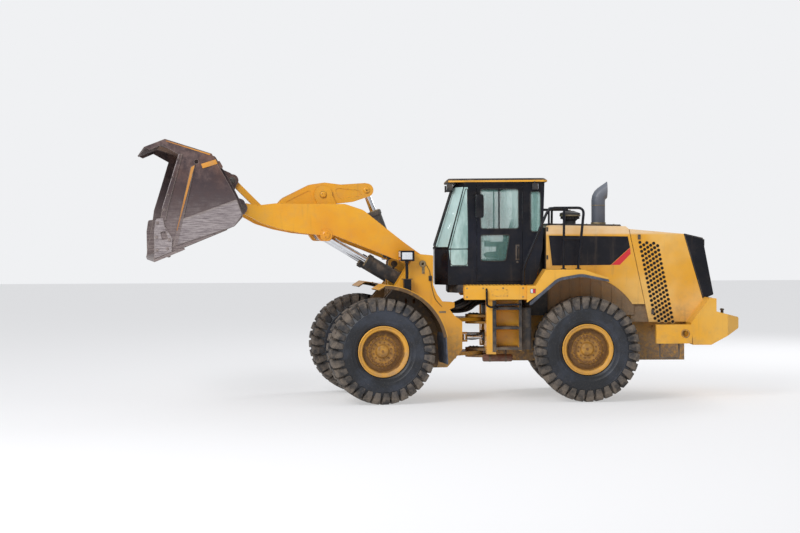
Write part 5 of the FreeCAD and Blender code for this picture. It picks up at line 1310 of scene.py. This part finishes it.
# %% Keepers, plates, fender lip and lamp lenses
keepers = [block(0.968, 1.016, 0.6902, 0.7025, 2.02, 2.136, 0.004)]
keepers += bolts_at([(0.985, 2.05), (0.995, 2.095)], 0.011, 0.01, 0.7025)
cap = turned([(0, 0.7185), (0.04, 0.7185), (0.052, 0.7165), (0.0555, 0.712), (0.0555, 0.7082),
              (0, 0.7082)], (1.004, 0, 2.181), steps=32)
nipple = turned([(0, 0.732), (0.005, 0.731), (0.008, 0.726), (0.008, 0.7185), (0, 0.7185)],
                (1.004, 0, 2.181), steps=10)
pair("boom_pin_caps", keepers + [cap, nipple], zinc, 35, "front_chassis")
tag = block(0.617, 0.733, 0.7001, 0.7022, 1.371, 1.405, 0.0005)
rivets = [turned([(0, 0.0015), (0.002, 0.001), (0.0025, 0), (0, 0)], (x, 0.7022, 1.388), steps=10)
          for x in (0.622, 0.728)]
pair("bare_plate", [tag] + rivets, zinc, body="front_chassis")
tower_bolts = bolts_at([(0.66, 1.0), (0.66, 1.12), (1.44, 1.02), (1.44, 1.14), (0.78, 1.22),
                        (1.34, 1.24)], 0.018, 0.017, 0.7001)
grease_block = block(0.85, 0.905, 0.7001, 0.715, 1.9, 1.985, 0.004)
pair("tower_bolts", tower_bolts, low_yellow, 30, "front_chassis")
grease = [turned([(0, 0.73), (0.006, 0.729), (0.008, 0.715), (0, 0.715)], (x, 0, z), steps=10)
          for x in (0.865, 0.89) for z in (1.915, 1.942, 1.969)]
lines = [tube([(0.878, 0.708, 1.985), (0.885, 0.708, 2.06), (0.94, 0.708, 2.16)], 0.005),
         tube([(0.868, 0.708, 1.9), (0.85, 0.708, 1.78), (0.8, 0.708, 1.6), (0.69, 0.708, 1.48)],
              0.005)]
pair("grease_block", [grease_block] + grease + lines, dull_black, 40, "front_chassis")
LIP = [(1.724, 1.8615), (1.852, 1.7815), (1.8545, 1.785), (1.726, 1.8655)]
pair("fender_lip", [plate(LIP, 0.7001, 1.4203)], yellow, body="front_chassis")
FENDER_REACH, UPRIGHT = 1.0621, Matrix.Rotation(radians(90), 4, "X")
fender_screws = []
for angle in [radians(degrees) for degrees in (100, 112, 124, 136, 148, 160)]:
    place = (AXLE_X + FENDER_REACH * cos(angle), 0.78, AXLE_Z + FENDER_REACH * sin(angle))
    for form in bolt(0.01, 0.008):
        form.transform(Matrix.Translation(place) @ Matrix.Rotation(pi / 2 - angle, 4, "Y") @
                       UPRIGHT)
        fender_screws.append(form)
pair("fender_screws", fender_screws, zinc, 30, "front_chassis")
rim_path = [(1.4035, y, z) for y, z in ((0.738, 2.238), (0.922, 2.238), (0.922, 2.392),
                                        (0.738, 2.392))]
head_rim = [tube(rim_path, 0.006, closed=True, bend=0.015),
            block(1.262, 1.318, 0.802, 0.858, 2.195, 2.2295, 0.004),
            block(1.205, 1.365, 0.76, 0.9, 1.9305, 1.942, 0.004)]
side_glass = [block(1.215, 1.384, 0.9302, 0.938, 2.258, 2.372, 0.005)]
head_lens = [block(1.4003, 1.41, 0.745, 0.915, 2.296, 2.385, 0.004)]
signal = [block(1.4003, 1.409, 0.745, 0.915, 2.243, 2.286, 0.004)]
for name, parts, material, smooth in (("lamp_side_glass", side_glass, lens_clear, 35),
                                      ("head_lamp_lenses", head_lens, lens_clear, 35),
                                      ("head_lamp_rims", head_rim, dull_black, 50),
                                      ("turn_signals", signal, lens_amber, 35)):
    pair(name, parts, material, smooth, "front_chassis")
LAMP_CABLE = [(1.29, 0.806, 2.232), (1.268, 0.8, 2.16), (1.262, 0.806, 2.05), (1.266, 0.812, 1.945)]
pair("lamp_cables", [tube(LAMP_CABLE, 0.006)], hose_rubber, 50, "front_chassis")

# %% [markdown]
# ## Loader linkage
# Every pin ends in a cap, and every cylinder in a bolted gland with a bright wiper ring. The
# steel oil lines run along the barrels, clamped, and turn into them at the far end.

# %% Pin caps on boom, lever and bucket
PIN_CAP = ((0, 0.016), (0.034, 0.016), (0.044, 0.013), (0.052, 0.005), (0.053, 0.0002), (0, 0.0002))


def pin_cap(x, z, y, scale=1.0, bolts=3):
    parts = [turned([(radius * scale, y + height) for radius, height in PIN_CAP], (x, 0, z),
                    steps=32)]
    for k in range(bolts):
        a = 2 * pi * (k + 0.25) / bolts
        for form in bolt(0.008, 0.008):
            parts.append(moved(form, x + 0.028 * scale * cos(a), y + 0.016,
                               z + 0.028 * scale * sin(a)))
    return parts


LEVER_TAIL, LEVER_HEAD, LIFT_FOOT, LIFT_HEAD, TILT_FOOT = (
    (1.831, 3.398), (3.397, 2.91), (1.04, 1.742), (2.577, 2.659), (1.372, 2.174))
# Dark discs at the lever's pin ends are painted shade inside their bores.
bore_shades = [turned([(0, 0.0175), (0.011, 0.0175), (0.012, 0.0155), (0, 0.0155)], (x, 0.14, z),
                  steps=16) for x, z in (LEVER_TAIL, LEVER_HEAD)]
pair("lever_bores", bore_shades, hole_shade, body="lever")
pair("lift_head_caps", pin_cap(*LIFT_HEAD, 0.637, 1.3, 4), boom_yellow, 35, "boom")
pair("lever_pin_caps", pin_cap(2.563, 3.323, 0.2), boom_yellow, 35, "boom")
lever_caps = pin_cap(*LEVER_TAIL, 0.14, 1.1) + pin_cap(*LEVER_HEAD, 0.14, 1.1)
pair("lever_caps", lever_caps, boom_yellow, 35, "lever")
bucket_caps = pin_cap(3.964, 3.1, 0.671, 1.1, 4) + pin_cap(4.048, 3.561, 0.106, 1.0, 3)
pair("bucket_pin_caps", bucket_caps, dark_steel, 35, "bucket")

# %% Glands, wiper rings and oil lines
def dress_cylinder(foot, head, y, radius, rod, length, line_turn, line_width):
    """Gland bolts, wiper ring, weld ring and two oil lines of one cylinder, in two lists."""
    run = Vector((head[0] - foot[0], 0, head[1] - foot[1])).normalized()
    stand = Matrix.Translation((foot[0], y, foot[1])) @ facing(run)
    gland = [moved(form, 0, length + 0.0003, radius - 0.012) for form in bolt(0.0095, 0.012)]
    ring = grow(ring_of_parts, joined(gland), zinc, Count=8)
    wiper_ring = turned([(rod + 0.001, length), (rod + 0.014, length),
                         (rod + 0.014, length + 0.008), (rod + 0.004, length + 0.018),
                         (rod + 0.001, length + 0.018)], steps=32)
    weld = turned([(radius, 0.172), (radius + 0.005, 0.176), (radius + 0.007, 0.182),
                   (radius + 0.005, 0.188), (radius, 0.192)], steps=36)
    steel, clamps, up = [], [], radius + 0.02
    for w, leaves, enters in ((-line_width, length - 0.42, length - 0.36),
                              (line_width, length - 0.13, length - 0.075)):
        steel += [tube([(w, 0.215, up), (w, leaves, up), (w * 0.6, enters, radius + 0.01),
                        (w * 0.4, enters, radius - 0.01)], 0.0095, bend=0.03),
                  turned([(0, 0.205), (0.016, 0.205), (0.016, 0.235), (0, 0.235)], (w, 0, up),
                         steps=6)]
    for along in (0.34, 0.5):
        clamps += [block(-line_width - 0.02, line_width + 0.02, along, along + 0.03, radius + 0.006,
                         radius + 0.034, 0.003),
                   block(-0.02, 0.02, along, along + 0.03, radius - 0.006, radius + 0.008, 0.001)]
    around = Matrix.Rotation(line_turn, 4, "Y")
    for form in steel + clamps:
        form.transform(around)
    for form in [ring, wiper_ring, weld] + steel + clamps:
        form.transform(stand)
    return [ring, wiper_ring] + steel, [weld] + clamps


bright, dark = dress_cylinder(LIFT_FOOT, LIFT_HEAD, 0.35, 0.105, 0.05, 0.97, radians(0), 0.03)
pair("lift_lines", bright, zinc, 40, "lift_cylinders")
pair("lift_clamps", dark, dull_black, 40, "lift_cylinders")
bright, dark = dress_cylinder(TILT_FOOT, LEVER_TAIL, 0.0, 0.11, 0.055, 0.93, radians(60), 0.026)
single("tilt_lines", bright, zinc, 40, "tilt_cylinder")
single("tilt_clamps", dark, dull_black, 40, "tilt_cylinder")

# %% Welds and hoses on the boom
welds = [tube([(2.33 + 0.142 * cos(a), 0.5335, 2.89 + 0.142 * sin(a)) for a in
               [2 * pi * k / 28 for k in range(28)]], 0.006, closed=True, bend=0.01)]
welds.append(tube([(2.42, 0.532, 2.704), (2.56, 0.532, 2.708), (2.74, 0.532, 2.704)], 0.006))
pair("boom_welds", welds, boom_yellow, 60, "boom")
BOOM_HOSE = [(1.375, 0.528, 2.49), (1.42, 0.528, 2.52), (1.72, 0.528, 2.76), (2.08, 0.528, 2.93),
             (2.23, 0.528, 2.985)]
hose_forms = [tube([(x, y - inner, z - lower) for x, y, z in BOOM_HOSE], 0.012, bend=0.1)
              for inner, lower in ((0, 0), (0.026, 0.035))]
hose_clamps = [block(x - 0.02, x + 0.02, 0.486, 0.5355, z - 0.055, z + 0.02, 0.004)
               for x, y, z in BOOM_HOSE[1:4]]
pair("boom_hoses", hose_forms, hose_rubber, 50, "boom")
pair("boom_hose_clamps", hose_clamps, zinc, 35, "boom")

# %% [markdown]
# ## Bucket
# The cutting edge is bolted from below through plough bolts. Side cutters and corner guards are
# bolted too, so that they can be changed, and the wear plates are welded all round. Paint is
# left on the cheek's rib, and stone has scoured the wear plate, its edge and the corner pale.

# %% Edge nuts, side bolts, weld beads, paint and scoured faces
edge_run = Vector((-0.47, 0, 0.192)).normalized()
edge_down = Vector((-edge_run.z, 0, edge_run.x))
nut = joined(bolt(0.021, 0.02))
nut.transform(Matrix.Translation((5.15, -1.5, 2.3475)) @ facing(edge_down))
edge_nuts = grow(rail_of_parts, nut, zinc, Count=16, Step=(0, 0.2, 0))
single("edge_nuts", [edge_nuts], wear_steel, 30, "bucket")
side_bolts = bolts_at([(5.005, 3.84), (5.09, 3.56), (5.172, 3.29), (5.225, 3.06)], 0.017, 0.013,
                      1.6011)
side_bolts += bolts_at([(5.33, 2.86), (5.345, 2.64), (5.34, 2.44), (5.18, 2.46), (5.15, 2.6)],
                       0.019, 0.014, 1.6101)
pair("bucket_side_bolts", side_bolts, bucket_steel, 30, "bucket")
beads = [tube([(4.98, 1.5865, 2.905), (4.54, 1.5865, 3.061), (4.115, 1.5865, 3.212)], 0.007),
         tube([(4.744, 1.5865, 3.77), (5.024, 1.5865, 2.53)], 0.006),
         tube([(5.062, 1.5865, 2.5), (4.985, 1.5865, 2.895)], 0.006)]
RIB_PAINT = [(4.753, 3.75), (4.807, 3.721), (5.04, 2.74), (5.026, 2.745)]
NAME_BLANK = [(4.4, 3.77), (4.425, 3.842), (4.655, 3.77), (4.632, 3.7)]
worn_plates = [plate(RIB_PAINT, 1.6052, 1.6066), plate(NAME_BLANK, 1.5852, 1.5955, 0.004),
               plate([(4.508, 3.925), (5.19, 4.135), (5.196, 4.118), (4.52, 3.906)], 1.5852, 1.588)]
pair("bucket_paint", worn_plates, worn_paint, 35, "bucket")
WEAR_FACE = [(5.058, 2.512), (4.975, 2.894), (4.107, 3.203), (4.03, 2.986), (4.07, 2.925),
             (4.15, 2.806)]
WEAR_EDGE = [(4.972, 2.891), (4.106, 3.198), (4.11, 3.21), (4.979, 2.902)]
CORNER_FACE = [(5.252, 2.937), (5.335, 2.926), (5.36, 2.905), (5.384, 2.739), (5.379, 2.313),
               (5.12, 2.412), (5.107, 2.62), (5.165, 2.705), (5.2, 2.738), (5.171, 2.612),
               (5.264, 2.594), (5.291, 2.722), (5.218, 2.736), (5.202, 2.742), (5.228, 2.815)]
CUTTER_EDGE = [(5.262, 3.08), (5.252, 3.08), (4.985, 3.925), (4.996, 3.925)]
faces = [plate(WEAR_FACE, 1.5971, 1.5984), plate(CORNER_FACE, 1.6101, 1.6114),
         plate(WEAR_EDGE, 1.5985, 1.602), plate(CUTTER_EDGE, 1.6011, 1.603)]
pair("scoured_faces", faces, scoured_steel, 35, "bucket")
pair("bucket_welds", beads, wear_steel, 60, "bucket")

# %% [markdown]
# ## The studio
# The machine stands alone on a pale floor under soft light from above, as on an overcast day.
# The world gives most of the light. One broad lamp from the camera's upper left models the
# sides, and a weaker one from behind keeps the edges apart from the backdrop.

# %% Floor, backdrop and light
def studio():
    material, s, shader = new_material("studio_floor")
    s.feed(shader, Base_Color=srgb(176, 176, 178), Roughness=0.9,
           Emission_Color=srgb(255, 255, 255), Emission_Strength=0.45)
    floor_form = bmesh.new()
    bmesh.ops.create_grid(floor_form, x_segments=1, y_segments=1, size=70)
    floor_mesh = collect([floor_form], "studio_floor")
    floor_mesh.materials.append(material)
    floor = bpy.data.objects.new("studio_floor", floor_mesh)
    bpy.context.scene.collection.objects.link(floor)
    world = bpy.data.worlds.new("sky")
    world.use_nodes = True
    bpy.context.scene.world = world
    w = Shade(world.node_tree)
    background = world.node_tree.nodes["Background"]
    up = w.level(w.add("ShaderNodeTexCoord").outputs["Generated"])
    sky = w.mix(w.band(up, -0.1, 0.7), srgb(226, 228, 232), srgb(246, 248, 252))
    seen = w.add("ShaderNodeLightPath").outputs["Is Camera Ray"]
    w.feed(background, Color=w.mix(seen, sky, srgb(240, 241, 243)),
           Strength=w.band(seen, 0.0, 1.0, 0.62, 1.0))


def lamp(name, place, aim, size, energy):
    data = bpy.data.lights.new(name, "AREA")
    data.shape = "DISK"
    data.size = size
    data.energy = energy
    light = bpy.data.objects.new(name, data)
    bpy.context.scene.collection.objects.link(light)
    light.location = place
    light.rotation_euler = (Vector(aim) - Vector(place)).to_track_quat("-Z", "Y").to_euler()


studio()
lamp("key_light", (9, 15, 13), (0, 0, 1.5), 9.0, 2300)
lamp("back_light", (-10, -12, 10), (0, 0, 2), 7.0, 900)

# %% [markdown]
# The camera stands about thirty metres off to the machine's left with a long lens, level with
# the cab's sill, which is why the sides look flat and both front wheels show.

# %% Camera
CAMERA_PLACE = to_pin @ Vector((1.263, 29.826, 2.68))
CAMERA_TURN = (88.929, 0.299, 179.937)
eye = bpy.data.cameras.new("camera")
eye.lens = 79.78
eye.sensor_width = 36.0
camera = bpy.data.objects.new("camera", eye)
bpy.context.scene.collection.objects.link(camera)
camera.location = CAMERA_PLACE
camera.rotation_euler = [radians(angle) for angle in CAMERA_TURN]
bpy.context.scene.camera = camera
bpy.context.scene.view_settings.view_transform = "Standard"
